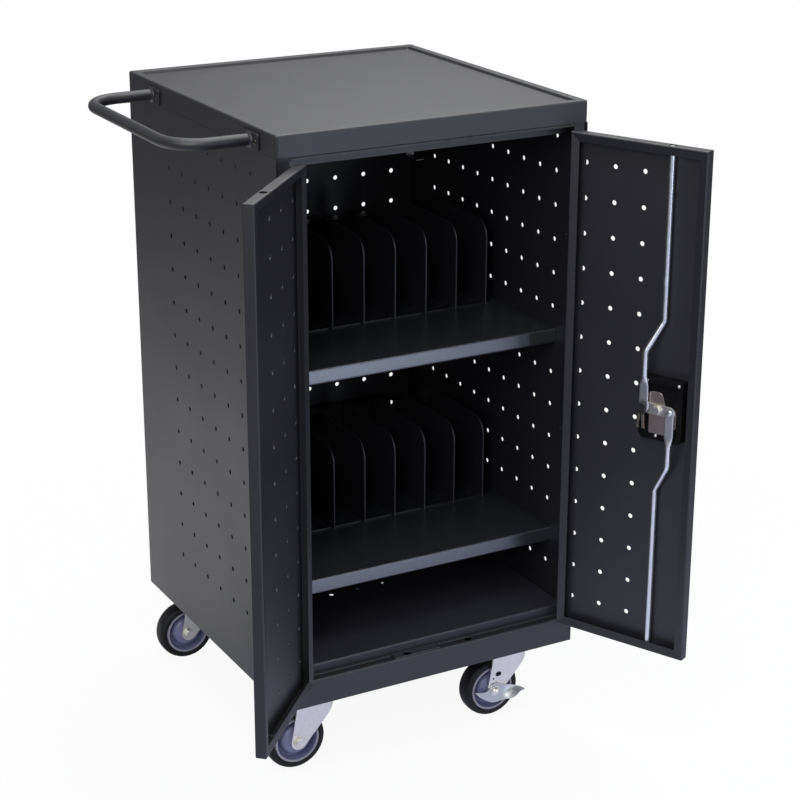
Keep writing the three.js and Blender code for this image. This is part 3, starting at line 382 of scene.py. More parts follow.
def rounded_polygon(points, radius, steps=4):
    """A polygon whose corners are rounded to one radius, or to one for each corner."""
    radii = radius if isinstance(radius, list) else [radius] * len(points)
    corners = [Vector(p) for p in points]
    result = []
    for i, corner in enumerate(corners):
        back = (corners[i - 1] - corner).normalized()
        ahead = (corners[(i + 1) % len(corners)] - corner).normalized()
        result += fillet(corner, back, ahead, radii[i], steps)
    return [tuple(p) for p in result]


def fillet(corner, back, ahead, radius, steps):
    """Points of an arc that rounds a corner between two directions."""
    spread = back.angle(ahead)
    if radius <= 0 or spread > math.pi - 1e-4:
        return [corner]
    setback = radius / math.tan(spread / 2)
    centre = corner + (back + ahead).normalized() * (radius / math.sin(spread / 2))
    start = corner + back * setback - centre
    end = corner + ahead * setback - centre
    sweep = math.pi - spread
    points = []
    for k in range(steps + 1):
        a = sweep * k / steps
        points.append(centre + (start * math.sin(sweep - a) + end * math.sin(a)) / math.sin(sweep))
    return points


def bent(points, radius, steps=8):
    """Stations of a line with rounded corners."""
    line = [Vector(p) for p in points]
    stations = [line[0]]
    for before, corner, after in zip(line, line[1:], line[2:]):
        stations += fillet(corner, (before - corner).normalized(), (after - corner).normalized(), radius, steps)
    return stations + [line[-1]]


def folded(path, thickness, bend, steps=4):
    """Outline of a folded sheet whose outer face runs along a path. The sheet is on its right."""
    line = [Vector(p) for p in path]
    face, back = [], []
    for i, point in enumerate(line):
        ahead = (line[min(i + 1, len(line) - 1)] - line[min(i, len(line) - 2)]).normalized()
        if i in (0, len(line) - 1):
            face.append(point)
            back.append(point + Vector((ahead.y, -ahead.x)) * thickness)
            continue
        behind = (point - line[i - 1]).normalized()
        right_turn = behind.x * ahead.y - behind.y * ahead.x < 0
        outer, inner = (bend, bend + thickness) if right_turn is False else (bend + thickness, bend)
        curve = fillet(point, -behind, ahead, outer, steps)
        spread = (-behind).angle(ahead)
        centre = point + (ahead - behind).normalized() * (outer / math.sin(spread / 2))
        face += curve
        back += [centre + (p - centre) * (inner / outer) for p in curve]
    return [tuple(p) for p in face + back[::-1]]


ALONG = {
    "X": lambda u, v, t: (t, u, v),
    "Y": lambda u, v, t: (u, t, v),
    "Z": lambda u, v, t: (u, v, t),
}


class Form:
    """Mesh of one piece while it is drawn, in millimetres."""

    def __init__(self):
        self.bm = bmesh.new()

    def add(self, points, faces, finish=0):
        made = [self.bm.verts.new(p) for p in points]
        for face in faces:
            self.bm.faces.new([made[i] for i in face]).material_index = finish
        return self

    def rings(self, loops, closed=False, caps=(True, True), finish=0):
        """A skin over loops of equal length, with its ends capped or joined to each other."""
        count = len(loops[0])
        faces = []
        pairs = len(loops) if closed else len(loops) - 1
        for i in range(pairs):
            a, b = i * count, ((i + 1) % len(loops)) * count
            for k in range(count):
                n = (k + 1) % count
                faces.append((a + k, a + n, b + n, b + k))
        if not closed and caps[0]:
            faces.append(tuple(range(count))[::-1])
        if not closed and caps[1]:
            last = (len(loops) - 1) * count
            faces.append(tuple(range(last, last + count)))
        return self.add([p for loop in loops for p in loop], faces, finish)

    def prism(self, outline, axis, start, end, finish=0):
        at = ALONG[axis]
        return self.rings([[at(u, v, t) for u, v in outline] for t in (start, end)], finish=finish)

    def block(self, low, high, finish=0):
        outline = [(low[0], low[1]), (high[0], low[1]), (high[0], high[1]), (low[0], high[1])]
        return self.prism(outline, "Z", low[2], high[2], finish)

    def turned(self, profile, axis, centre, sides=48, closed=False, finish=0):
        """A profile of (radius, place along the axis) points turned about an axis."""
        at = ALONG[axis]
        loops = []
        for radius, along in profile:
            turns = [2 * math.pi * (k + 0.5) / sides for k in range(sides)]
            ring = [at(radius * math.cos(a), radius * math.sin(a), along) for a in turns]
            loops.append([Vector(p) + Vector(centre) for p in ring])
        return self.rings(loops, closed, finish=finish)

    def tube(self, stations, radii, side, sides=24, finish=0):
        """A bar along stations. Each section is a radius or (half width, half depth, roundness)."""
        loops = []
        last = len(stations) - 1
        for i, station in enumerate(stations):
            before = (stations[max(i, 1)] - stations[max(i, 1) - 1]).normalized()
            after = (stations[min(i + 1, last)] - stations[min(i, last - 1)]).normalized()
            along = (before + after).normalized()
            across = (Vector(side) - along * along.dot(Vector(side))).normalized()
            other = along.cross(across)
            radius = radii[i] if isinstance(radii, list) else radii
            a, b, soft = radius if isinstance(radius, tuple) else (radius, radius, 1)
            loop = []
            for k in range(sides):
                u, v = math.cos(2 * math.pi * (k + 0.5) / sides), math.sin(2 * math.pi * (k + 0.5) / sides)
                u, v = math.copysign(abs(u) ** soft, u), math.copysign(abs(v) ** soft, v)
                loop.append(station + across * a * u + other * b * v)
            loops.append(loop)
        return self.rings(loops, finish=finish)

    def absorb(self, mesh, place=Matrix()):
        """Takes over a mesh, with its finishes in their order."""
        other = bmesh.new()
        other.from_mesh(mesh)
        other.transform(place)
        faces = [([v.index for v in f.verts], f.material_index) for f in other.faces]
        made = [self.bm.verts.new(v.co) for v in other.verts]
        for corners, finish in faces:
            self.bm.faces.new([made[i] for i in corners]).material_index = finish
        other.free()
        bpy.data.meshes.remove(mesh)
        return self

    def closed_up(self):
        bmesh.ops.remove_doubles(self.bm, verts=self.bm.verts, dist=1e-3)
        bmesh.ops.recalc_face_normals(self.bm, faces=self.bm.faces)
        return self

    def as_object(self, name):
        self.closed_up()
        mesh = bpy.data.meshes.new(name)
        self.bm.to_mesh(mesh)
        self.bm.free()
        obj = bpy.data.objects.new(name, mesh)
        bpy.context.scene.collection.objects.link(obj)
        return obj


def settled(obj):
    """The mesh of an object with its modifiers worked in. The object goes."""
    bpy.context.view_layer.update()
    graph = bpy.context.evaluated_depsgraph_get()
    mesh = bpy.data.meshes.new_from_object(obj.evaluated_get(graph))
    bpy.data.objects.remove(obj)
    return mesh


def carved(form, tool, operation="DIFFERENCE"):
    """A form cut by another, or the part that both share."""
    body, cutter = form.as_object("body"), tool.as_object("cutter")
    modifier = body.modifiers.new("Carve", "BOOLEAN")
    modifier.operation = operation
    modifier.solver = "EXACT"
    modifier.object = cutter
    mesh = settled(body)
    bpy.data.objects.remove(cutter)
    return Form().absorb(mesh)


def bevelled(form, width, steps=2, angle=40):
    """A form whose sharp edges are rounded to a width in millimetres."""
    obj = form.as_object("body")
    modifier = obj.modifiers.new("Edges", "BEVEL")
    modifier.width = width
    modifier.segments = steps
    modifier.limit_method = "ANGLE"
    modifier.angle_limit = math.radians(angle)
    modifier.use_clamp_overlap = True
    return Form().absorb(settled(obj))


def add_piece(form, name, body, place, looks, replaces=(), bevel=0.4, steps=2):
    """Finishes a form as a piece that rides on a body and stands for its CAD nodes."""
    if bevel:
        form = bevelled(form, bevel, steps)
    form.closed_up()
    form.bm.transform(place)
    bmesh.ops.recalc_face_normals(form.bm, faces=form.bm.faces)
    mesh = bpy.data.meshes.new(name)
    form.bm.to_mesh(mesh)
    form.bm.free()
    for look in looks:
        mesh.materials.append(finishes()[look])
    mesh.polygons.foreach_set("use_smooth", [True] * len(mesh.polygons))
    mesh.set_sharp_from_angle(angle=math.radians(48))
    obj = bpy.data.objects.new(name, mesh)
    bpy.context.scene.collection.objects.link(obj)
    modifier = obj.modifiers.new("Flat faces", "WEIGHTED_NORMAL")
    modifier.keep_sharp = True
    mesh = settled(obj)
    mesh.name = name
    piece = bpy.data.objects.new(name, mesh)
    bpy.context.scene.collection.objects.link(piece)
    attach(piece, body)
    if replaces:
        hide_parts(*replaces)
    return piece


# Geometry Nodes rules


def rule_tree(name, inputs):
    """An empty rule with named inputs, and the sockets that bring them in."""
    tree = bpy.data.node_groups.new(name, "GeometryNodeTree")
    face = tree.interface
    face.new_socket("Geometry", in_out="OUTPUT", socket_type="NodeSocketGeometry")
    face.new_socket("Geometry", in_out="INPUT", socket_type="NodeSocketGeometry")
    for label, kind in inputs.items():
        face.new_socket(label, in_out="INPUT", socket_type="NodeSocket" + kind)
    graph = Graph(tree)
    entry = tree.nodes.new("NodeGroupInput")
    return graph, {socket.name: Sock(graph, socket) for socket in entry.outputs if socket.name}


def end_rule(graph, geometry, material):
    real = graph.node("GeometryNodeRealizeInstances", None, {"Geometry": geometry})
    dressed = graph.node("GeometryNodeSetMaterial", None, {"Geometry": real, "Material": material})
    graph.node("NodeGroupOutput", None, {0: dressed})
    return graph.tree


def perforated_sheet_rule():
    """A flat sheet with a grid of round holes and, where asked, one square opening."""
    g, i = rule_tree("perforated_sheet", {
        "Width": "Float", "Height": "Float", "Thickness": "Float", "Hole": "Float",
        "Columns": "Int", "Rows": "Int", "Column Pitch": "Float", "Row Pitch": "Float",
        "Grid Place": "Vector", "Has Opening": "Bool", "Opening Width": "Float",
        "Opening Height": "Float", "Opening Place": "Vector", "Material": "Material",
    })
    edge = g.node("GeometryNodeCurvePrimitiveQuadrilateral", None, {"Width": i["Width"], "Height": i["Height"]})
    grid = g.node("GeometryNodeMeshGrid", None, {
        "Size X": (i["Columns"] - 1) * i["Column Pitch"],
        "Size Y": (i["Rows"] - 1) * i["Row Pitch"],
        "Vertices X": i["Columns"],
        "Vertices Y": i["Rows"],
    })
    ring = g.node("GeometryNodeCurvePrimitiveCircle", None, {"Resolution": 20, "Radius": i["Hole"] * 0.5})
    holes = g.node("GeometryNodeInstanceOnPoints", None, {"Points": grid, "Instance": ring})
    holes = g.node("GeometryNodeTransform", None, {"Geometry": holes, "Translation": i["Grid Place"]})
    opening = g.node("GeometryNodeCurvePrimitiveQuadrilateral", None, {
        "Width": i["Opening Width"], "Height": i["Opening Height"],
    })
    opening = g.node("GeometryNodeTransform", None, {"Geometry": opening, "Translation": i["Opening Place"]})
    opening = g.node("GeometryNodeSwitch", {"input_type": "GEOMETRY"}, {"Switch": i["Has Opening"], "True": opening})
    curves = g.node("GeometryNodeJoinGeometry", None, {"Geometry": [edge, holes, opening]})
    curves = g.node("GeometryNodeRealizeInstances", None, {"Geometry": curves})
    flat = g.node("GeometryNodeFillCurve", None, {"Curve": curves})
    raised = g.node("GeometryNodeExtrudeMesh", {"mode": "FACES"}, {
        "Mesh": flat, "Offset Scale": i["Thickness"], "Individual": False,
    })
    under = g.node("GeometryNodeFlipFaces", None, {"Mesh": flat})
    sheet = g.node("GeometryNodeJoinGeometry", None, {"Geometry": [raised, under]})
    sheet = g.node("GeometryNodeMergeByDistance", None, {"Geometry": sheet, "Distance": 0.001})
    return end_rule(g, sheet, i["Material"])


def row_rule():
    """Copies of a piece in a row."""
    g, i = rule_tree("row", {"Count": "Int", "Step": "Vector", "Material": "Material"})
    line = g.node("GeometryNodeMeshLine", {"mode": "OFFSET"}, {"Count": i["Count"], "Offset": i["Step"]})
    copies = g.node("GeometryNodeInstanceOnPoints", None, {"Points": line, "Instance": i["Geometry"]})
    return end_rule(g, copies, i["Material"])


def round_rule():
    """Copies of a piece turned about the Y axis through the origin."""
    g, i = rule_tree("round", {"Count": "Int", "Angle": "Float", "Material": "Material"})
    line = g.node("GeometryNodeMeshLine", {"mode": "OFFSET"}, {"Count": i["Count"], "Offset": (0, 0, 0)})
    index = g.node("GeometryNodeInputIndex")
    turn = g.node("ShaderNodeCombineXYZ", None, {"Y": index * i["Angle"]})
    copies = g.node("GeometryNodeInstanceOnPoints", None, {
        "Points": line, "Instance": i["Geometry"], "Rotation": turn,
    })
    return end_rule(g, copies, i["Material"])


def heads_rule():
    """Screw heads on points that carry a facing and a size, each at its own turn."""
    g, i = rule_tree("screw_heads", {"Head": "Object", "Seed": "Int", "Material": "Material"})
    head = g.node("GeometryNodeObjectInfo", None, {"Object": i["Head"]}, out="Geometry")
    facing = g.node("GeometryNodeInputNamedAttribute", {"data_type": "FLOAT_VECTOR"}, {"Name": "facing"})
    scale = g.node("GeometryNodeInputNamedAttribute", {"data_type": "FLOAT"}, {"Name": "size"})
    upright = g.node("FunctionNodeAlignRotationToVector", {"axis": "Z"}, {"Vector": facing})
    spin = g.node("FunctionNodeRandomValue", {"data_type": "FLOAT"}, {
        2: 0.0, 3: 2 * math.pi, "Seed": i["Seed"],
    }, out=1)
    spin = g.node("ShaderNodeCombineXYZ", None, {"Z": spin})
    turn = g.node("FunctionNodeRotateRotation", {"rotation_space": "LOCAL"}, {
        "Rotation": upright, "Rotate By": spin,
    })
    heads = g.node("GeometryNodeInstanceOnPoints", None, {
        "Points": i["Geometry"], "Instance": head, "Rotation": turn, "Scale": scale,
    })
    return end_rule(g, heads, i["Material"])


RULES = {}


def ruled(obj, rule, **values):
    """The mesh that a rule makes from an object. Inputs are named with spaces as underscores."""
    if rule.__name__ not in RULES:
        RULES[rule.__name__] = rule()
    tree = RULES[rule.__name__]
    modifier = obj.modifiers.new("Rule", "NODES")
    modifier.node_group = tree
    named = {item.name.replace(" ", "_").lower(): item.identifier for item in tree.interface.items_tree
             if item.in_out == "INPUT"}
    for label, value in values.items():
        modifier[named[label]] = value
    return settled(obj)


def perforated(width, height, columns, rows, pitches, grid_place, opening=None):
    """A perforated sheet that lies flat, centred on the origin, with its thickness upwards."""
    values = dict(
        width=width, height=height, thickness=size("sheet"), hole=size("hole"),
        columns=columns, rows=rows, column_pitch=pitches[0], row_pitch=pitches[1],
        grid_place=(*grid_place, 0), has_opening=opening is not None, material=finishes()["coat"],
    )
    if opening:
        values.update(opening_width=opening[0], opening_height=opening[1], opening_place=(*opening[2], 0))
    return ruled(Form().as_object("sheet"), perforated_sheet_rule, **values)


STAND = {
    "X": Matrix(((0, 0, 1, 0), (1, 0, 0, 0), (0, 1, 0, 0), (0, 0, 0, 1))),
    "-Y": Matrix(((1, 0, 0, 0), (0, 0, -1, 0), (0, 1, 0, 0), (0, 0, 0, 1))),
}


def standing(mesh, facing, place):
    """A flat sheet stood up so that its thickness runs along a direction."""
    return Form().absorb(mesh, Matrix.Translation(place) @ STAND[facing])




def softened(node, name, body, look, bevel=0.5, steps=2):
    """A piece shaped as its CAD node, with rounded edges."""
    form = Form()
    form.bm.from_mesh(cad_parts[node].data)
    form.bm.transform(Matrix.Scale(1000, 4))
    bmesh.ops.remove_doubles(form.bm, verts=form.bm.verts, dist=0.01)
    bmesh.ops.dissolve_limit(form.bm, angle_limit=0.03, verts=form.bm.verts, edges=form.bm.edges)
    for face in form.bm.faces:
        face.material_index = 0
    return add_piece(form, name, body, Matrix.Scale(0.001, 4), [look], [node], bevel, steps)


def pressed(rows, thickness):
    """A smooth sheet over rows of points, given a thickness."""
    count = len(rows[0])
    faces = [
        (i * count + k, i * count + k + 1, (i + 1) * count + k + 1, (i + 1) * count + k)
        for i in range(len(rows) - 1) for k in range(count - 1)
    ]
    obj = Form().add([p for row in rows for p in row], faces).as_object("sheet")
    smooth = obj.modifiers.new("Smooth", "SUBSURF")
    smooth.levels = 2
    solid = obj.modifiers.new("Solid", "SOLIDIFY")
    solid.thickness = thickness
    solid.offset = 0
    return Form().absorb(settled(obj))


def drilled(form, axis, centre, diameter, start, end):
    """A form with a round hole along an axis."""
    return carved(form, Form().turned([(diameter / 2, start), (diameter / 2, end)], axis, centre, 32))


def screws(name, body, place, points, look="zinc"):
    """Screw heads at points of (place, facing, size)."""
    mesh = bpy.data.meshes.new(name)
    mesh.from_pydata([point for point, _, _ in points], [], [])
    facing = mesh.attributes.new("facing", "FLOAT_VECTOR", "POINT")
    facing.data.foreach_set("vector", [c for _, direction, _ in points for c in direction])
    scale = mesh.attributes.new("size", "FLOAT", "POINT")
    scale.data.foreach_set("value", [float(s) for _, _, s in points])
    holder = bpy.data.objects.new(name, mesh)
    bpy.context.scene.collection.objects.link(holder)
    profile = [(0, -0.4), (1.0, -0.4), (0.98, 0.1), (0.8, 0.32), (0.45, 0.42), (0.36, 0.1), (0, 0.1)]
    head = Form().turned(profile, "Z", (0, 0, 0), 16).as_object("head")
    made = ruled(holder, heads_rule, head=head, seed=7, material=finishes()[look])
    bpy.data.objects.remove(head)
    return add_piece(Form().absorb(made), name, body, place, [look], bevel=0)


class CART_OT_shell(bpy.types.Operator):
    """Top cap, side walls, rear wall and base of the cabinet"""

    bl_idname = "cart.shell"
    bl_label = "Shell"

    def execute(self, context):
        self.cap()
        self.wall(-1, "left", 7, 53.6, (251.7, 497.0))
        self.wall(1, "right", 9, 50.1, (285.1, 499.9))
        self.rear()
        self.base()
        return {"FINISHED"}

    def cap(self):
        sheet, rim, edge = size("sheet"), 16.0, 3.0
        tray = HEIGHT - 5.0
        profile = [(sheet, tray - sheet), (sheet, CAP_BOTTOM), (0, CAP_BOTTOM)]
        profile += [(edge - x, HEIGHT - edge + y) for x, y in arc((0, 0), edge, 0, 90, 5)]
        profile += [(rim - 2.5 + y, HEIGHT - 2.5 + x) for x, y in arc((0, 0), 2.5, 0, 80, 4)]
        profile += [(rim + 1.2, tray + 0.4), (rim + 3, tray)]
        loops = []
        for inset, z in profile:
            corner = max(5.0 - inset, 1.5)
            loop = rounded_rectangle(-HALF + inset, HALF - inset, inset, DEPTH - inset, corner, 5)
            loops.append([(x, y, z) for x, y in loop])
        add_piece(Form().rings(loops), "cap", "cabinet", CABINET, ["coat"], ["top_cap"], bevel=0)

    def wall(self, side, name, columns, step, middle):
        sheet, tall, deep = size("sheet"), CAP_BOTTOM - FIT, DEPTH - 4
        place = (middle[0] - deep / 2, middle[1] - tall / 2)
        flat = perforated(deep, tall, columns, 14, (step, size("hole_pitch")), place)
        form = standing(flat, "X", (HALF - sheet if side > 0 else -HALF, deep / 2, tall / 2))
        path = [(HALF - 22, DEPTH), (HALF, DEPTH), (HALF, deep)]
        if side < 0:
            path = [(-x, y) for x, y in path[::-1]]
        form.prism(folded(path, sheet, size("bend")), "Z", 0, tall)
        add_piece(form, name + "_wall", "cabinet", CABINET, ["coat"], [name + "_side_panel"], bevel=0)

    def rear(self):
        low, high = 2.8, CAP_BOTTOM - FIT
        middle = (low + high) / 2
        opening = (50.6, 28.6, (-205, 121 - middle))
        flat = perforated(2 * HALF - 3.6, high - low, 9, 14, (58, 57), (0, 521.5 - middle), opening)
        form = standing(flat, "-Y", (0, REAR_INNER + size("sheet"), middle))
        add_piece(form, "rear_wall", "cabinet", CABINET, ["coat"], ["rear_panel"], bevel=0)

    def base(self):
        half = HALF - 1.8
        form = Form().prism(rounded_rectangle(-half, half, 1.8, DEPTH - 1.8, 3), "Z", 0, 2.5)
        for x in DRAINS:
            form = drilled(form, "Z", (x + 57, 360, 0), 12, -1, 4)
        add_piece(form, "base", "cabinet", CABINET, ["coat"], ["base_plate"], bevel=0.6)


class CART_OT_front_frame(bpy.types.Operator):
    """Sill, header, jambs and floor pan"""

    bl_idname = "cart.front_frame"
    bl_label = "Front frame"

    def execute(self, context):
        sheet, bend = size("sheet"), size("bend")
        inner = HALF - 1.8
        sill = Form().prism(folded([(0, 0), (0, 46), (24, 46)], sheet, bend + 0.8), "X", -inner, inner)
        sill = drilled(sill, "Z", (STRIKE_X["lower"], ROD_Y, 0), 12.5, 40, 50)
        sill = drilled(sill, "Z", (-46, ROD_Y, 0), 12.5, 40, 50)
        sill = bevelled(sill, 0.3)
        strike = Form().prism(rounded_rectangle(-72, 14, 2.5, 21, 1), "Z", 46.05, 48)
        strike = bevelled(drilled(strike, "Z", (-46, ROD_Y, 0), 12.5, 40, 50), 0.9, 3)
        for start, end in ((4 - inner, -74), (16, inner - 4)):
            bead = Form().prism(rounded_rectangle(start, end, 14, 20, 1), "Z", 46.05, 47.6)
            strike.absorb(settled(bevelled(bead, 0.7, 3).as_object("bead")))
        # The strike plate and beads take the lighter pan coat as painted light on the sill ledge.
        for face in strike.bm.faces:
            face.material_index = 1
        sill.absorb(settled(strike.as_object("strike")))
        add_piece(sill, "sill", "cabinet", CABINET, ["coat", "pan"], ["front_sill"], bevel=0)
        top = CAP_BOTTOM - FIT
        header = Form().prism(folded([(3, top - 5.5), (3, top), (25.8, top), (25.8, top - 19.7)], sheet, bend), "X", -251.7, 251.7)
        header = drilled(header, "Z", (STRIKE_X["upper"], ROD_Y, 0), 12.5, top - 5, top + 5)
        for x in (19, 58):
            slot = rounded_rectangle(x - 5, x + 5, top - 4, top - 2, 0.9)
            header = carved(header, Form().prism(slot, "Y", 1, 6))
        add_piece(header, "header", "cabinet", CABINET, ["coat"], ["front_header"], bevel=0.3)
        pan = Form().prism(folded([(24.3, 44.5), (24.3, 61), (REAR_INNER - FIT, 61)], sheet, bend), "X", -271.4, 271.4)
        for x in DRAINS:
            pan = drilled(pan, "Z", (x, 248, 0), 8, 55, 65)
        # The floor pan takes the lighter coat, painted light where little lamp light reaches.
        add_piece(pan, "floor", "cabinet", CABINET, ["pan"], ["floor_pan"], bevel=0.3)
        path = [(inner, 60), (inner, 3), (252, 3)]
        for name, line in (("right", path), ("left", [(-x, y) for x, y in path[::-1]])):
            jamb = Form().prism(folded(line, sheet, bend), "Z", 46.3, top)
            add_piece(jamb, name + "_post", "cabinet", CABINET, ["coat"], [name + "_jamb"], bevel=0.3)
        softened("door_catch", "catch", "cabinet", "dull", 0.4)
        return {"FINISHED"}


class CART_OT_shelves(bpy.types.Operator):
    """Shelves and the divider racks on them"""

    bl_idname = "cart.shelves"
    bl_label = "Shelves"

    def execute(self, context):
        for name, level in SHELVES.items():
            path = [(SHELF_FRONT + 12, level - 24), (SHELF_FRONT - LIP_LEAN, level - 24), (SHELF_FRONT, level)]
            path += [(SHELF_REAR - 1.5, level), (SHELF_REAR - 1.5, level + 15)]
            inner = HALF - 1.8
            shelf = Form().prism(folded(path, size("sheet"), size("bend") + 0.7), "X", -inner, inner)
            add_piece(shelf, name + "_tray", "cabinet", CABINET, ["shelf"], [name + "_shelf"], bevel=0.3)
            self.rack(name, level + FIT)
        return {"FINISHED"}

    def rack(self, name, foot):
        count, step = context_slots(), size("slot_pitch")
        first, front, back, top = -count * step / 2, 245, 445, foot + 150
        plate = rounded_polygon([(front, foot), (back, foot), (back, top), (front, top)], [0, 0, 30, 30], 6)
        fin = Form().prism(plate, "X", first - 1, first + 1)
        line = [(first, front, foot + 2), (first, front, top), (first, back, top), (first, back, foot + 2)]
        fin.tube(bent(line, 30, 6), 1.9, (1, 0, 0), 10)
        step_vector = (step, 0, 0)
        fins = ruled(fin.as_object("fin"), row_rule, count=count + 1, step=step_vector, material=finishes()["coat"])
        form = Form().absorb(fins)
        for y in (front + 14, back - 14):
            rail = rounded_rectangle(first - 14, -first + 14, y - 7, y + 7, 3)
            form.prism(rail, "Z", foot, foot + 2)
        add_piece(form, name + "_dividers", "cabinet", CABINET, ["coat"], [name + "_divider_rack"], bevel=0)


def context_slots():
    """Number of places on a shelf."""
    return bpy.context.scene.cart_sizes.slots


class CART_OT_power(bpy.types.Operator):
    """Power strips with their outlets and switches, and the mains inlet"""

    bl_idname = "cart.power"
    bl_label = "Power"

    def execute(self, context):
        for name, level in SHELVES.items():
            self.strip(name, level + 60)
            softened(name + "_strip_switch", name + "_rocker", name + "_switch", "plastic", 0.6)
        self.inlet()
        return {"FINISHED"}

    def strip(self, name, foot):
        back, front, top = REAR_INNER - FIT, REAR_INNER - FIT - 40, foot + 42
        section = [(back, foot), (back, top), (front + 5, top), (front, top - 5), (front, foot + 5), (front + 5, foot)]
        form = Form().prism(rounded_polygon(section, 1.5), "X", -210, 210)
        middle = foot + 21
        pocket = Form().block((178, front - 5, middle - 13), (194, front + 9, middle + 13))
        form = bevelled(carved(form, pocket), 1.0)
        insert = rounded_rectangle(-194, -160, middle - 15.5, middle + 15.5, 3)
        outlet = Form().prism(insert, "Y", front - 0.9, front + 1)
        outlet = bevelled(outlet, 0.4)
        # Near-black patches stand for the slots and the earth hole: painted shade where the openings would be.
        for x in (-182, -172):
            outlet.block((x - 1, front - 1.1, middle - 1), (x + 1, front - 0.5, middle + 8), 1)
        outlet.turned([(2.6, front - 1.1), (2.6, front - 0.5)], "Y", (-177, 0, middle - 7), 16, finish=1)
        row = ruled(
            outlet.as_object("outlet"), outlets_rule, count=8, step=(43.0, 0, 0),
            material=finishes()["plastic"], socket_material=finishes()["dark"],
        )
        form.absorb(row)
        frame_loop = [(178.6, 193.4, 13.0, 0.5), (176.5, 195.5, 15.2, 2.0)]
        inner, outer = (rounded_rectangle(a, b, middle - h, middle + h, r) for a, b, h, r in frame_loop)
        bezel = [(inner, front + 2), (inner, front - 1.6), (outer, front - 1.2), (outer, front + 2)]
        form.rings([[(x, y, z) for x, z in loop] for loop, y in bezel], closed=True)
        add_piece(
            form, name + "_strip", "cabinet", CABINET, ["plastic", "dark"], [name + "_power_strip"], bevel=0
        )

    def inlet(self):
        x, z, back = -205, 121, DEPTH
        form = Form().prism(rounded_rectangle(x - 31, x + 31, z - 20, z + 20, 4), "Y", back - 1.5, back)
        form.prism(rounded_rectangle(x - 25, x + 25, z - 14, z + 14, 2), "Y", back - 24, back - 1.5)
        mouth = rounded_polygon([(x - 19, z + 8), (x + 19, z + 8), (x + 19, z - 3), (x + 13, z - 8), (x - 13, z - 8),
                                 (x - 19, z - 3)], 1)
        form = carved(form, Form().prism(mouth, "Y", back - 20, back + 1))
        form = bevelled(form, 0.5)
        for shift, drop in ((-10, -1), (10, -1), (0, 3)):
            pin = rounded_rectangle(x + shift - 1.2, x + shift + 1.2, z + drop - 2.5, z + drop + 2.5, 0.5)
            form.prism(pin, "Y", back - 21, back - 6, 1)
        add_piece(form, "inlet", "cabinet", CABINET, ["plastic", "brass"], ["power_inlet"], bevel=0)


def outlets_rule():
    """Outlets in a row. Their slots and earth holes are near-black patches of their own finish, painted shade where
    the openings would be.
    """
    g, i = rule_tree("outlets", {
        "Count": "Int", "Step": "Vector", "Material": "Material", "Socket Material": "Material",
    })
    line = g.node("GeometryNodeMeshLine", {"mode": "OFFSET"}, {"Count": i["Count"], "Offset": i["Step"]})
    row = g.node("GeometryNodeInstanceOnPoints", None, {"Points": line, "Instance": i["Geometry"]})
    real = g.node("GeometryNodeRealizeInstances", None, {"Geometry": row})
    slot = g.node("GeometryNodeInputMaterialIndex")
    plain = g.node("FunctionNodeCompare", {"data_type": "INT", "operation": "EQUAL"}, {2: slot, 3: 0})
    dark = g.node("FunctionNodeBooleanMath", {"operation": "NOT"}, {0: plain})
    dressed = g.node("GeometryNodeSetMaterial", None, {
        "Geometry": real, "Selection": plain, "Material": i["Material"],
    })
    dressed = g.node("GeometryNodeSetMaterial", None, {
        "Geometry": dressed, "Selection": dark, "Material": i["Socket Material"],
    })
    g.node("NodeGroupOutput", None, {0: dressed})
    return g.tree


class CART_OT_handle(bpy.types.Operator):
    """Push handle: a bent tube welded to two plates"""

    bl_idname = "cart.handle"
    bl_label = "Handle"

    def execute(self, context):
        level, grip, legs = HEIGHT - 21.5, -HALF - 123, (86, DEPTH - 108)
        root = -HALF - FIT - 2
        line = [(root, legs[0], level), (grip, legs[0], level), (grip, legs[1], level), (root, legs[1], level)]
        form = Form().tube(bent(line, 62, 14), size("handle_tube") / 2, (0, 0, 1), 28)
        for y in legs:
            plate = rounded_rectangle(y - 31, y + 31, level - 13, level + 13, 4)
            form.absorb(settled(bevelled(
                Form().prism(plate, "X", -HALF - FIT - 3, -HALF - FIT), 0.6).as_object("plate")))
            bead = [(9.2, -HALF - 6.6), (10.4, -HALF - 6.0), (12.0, -HALF - 4.4), (12.8, -HALF - 3.2), (9.2, -HALF - 3.2)]
            form.turned(bead, "X", (0, y, level), 32, closed=True)
        add_piece(form, "push_bar", "cabinet", CABINET, ["coat"], ["push_handle"], bevel=0)
        points = []
        for y in legs:
            for shift in (-22, 22):
                points.append(((-HALF - FIT - 3, y + shift, level), (-1, 0, 0), 4.6))
        screws("handle_screws", "cabinet", CABINET, points, "dull")
        return {"FINISHED"}


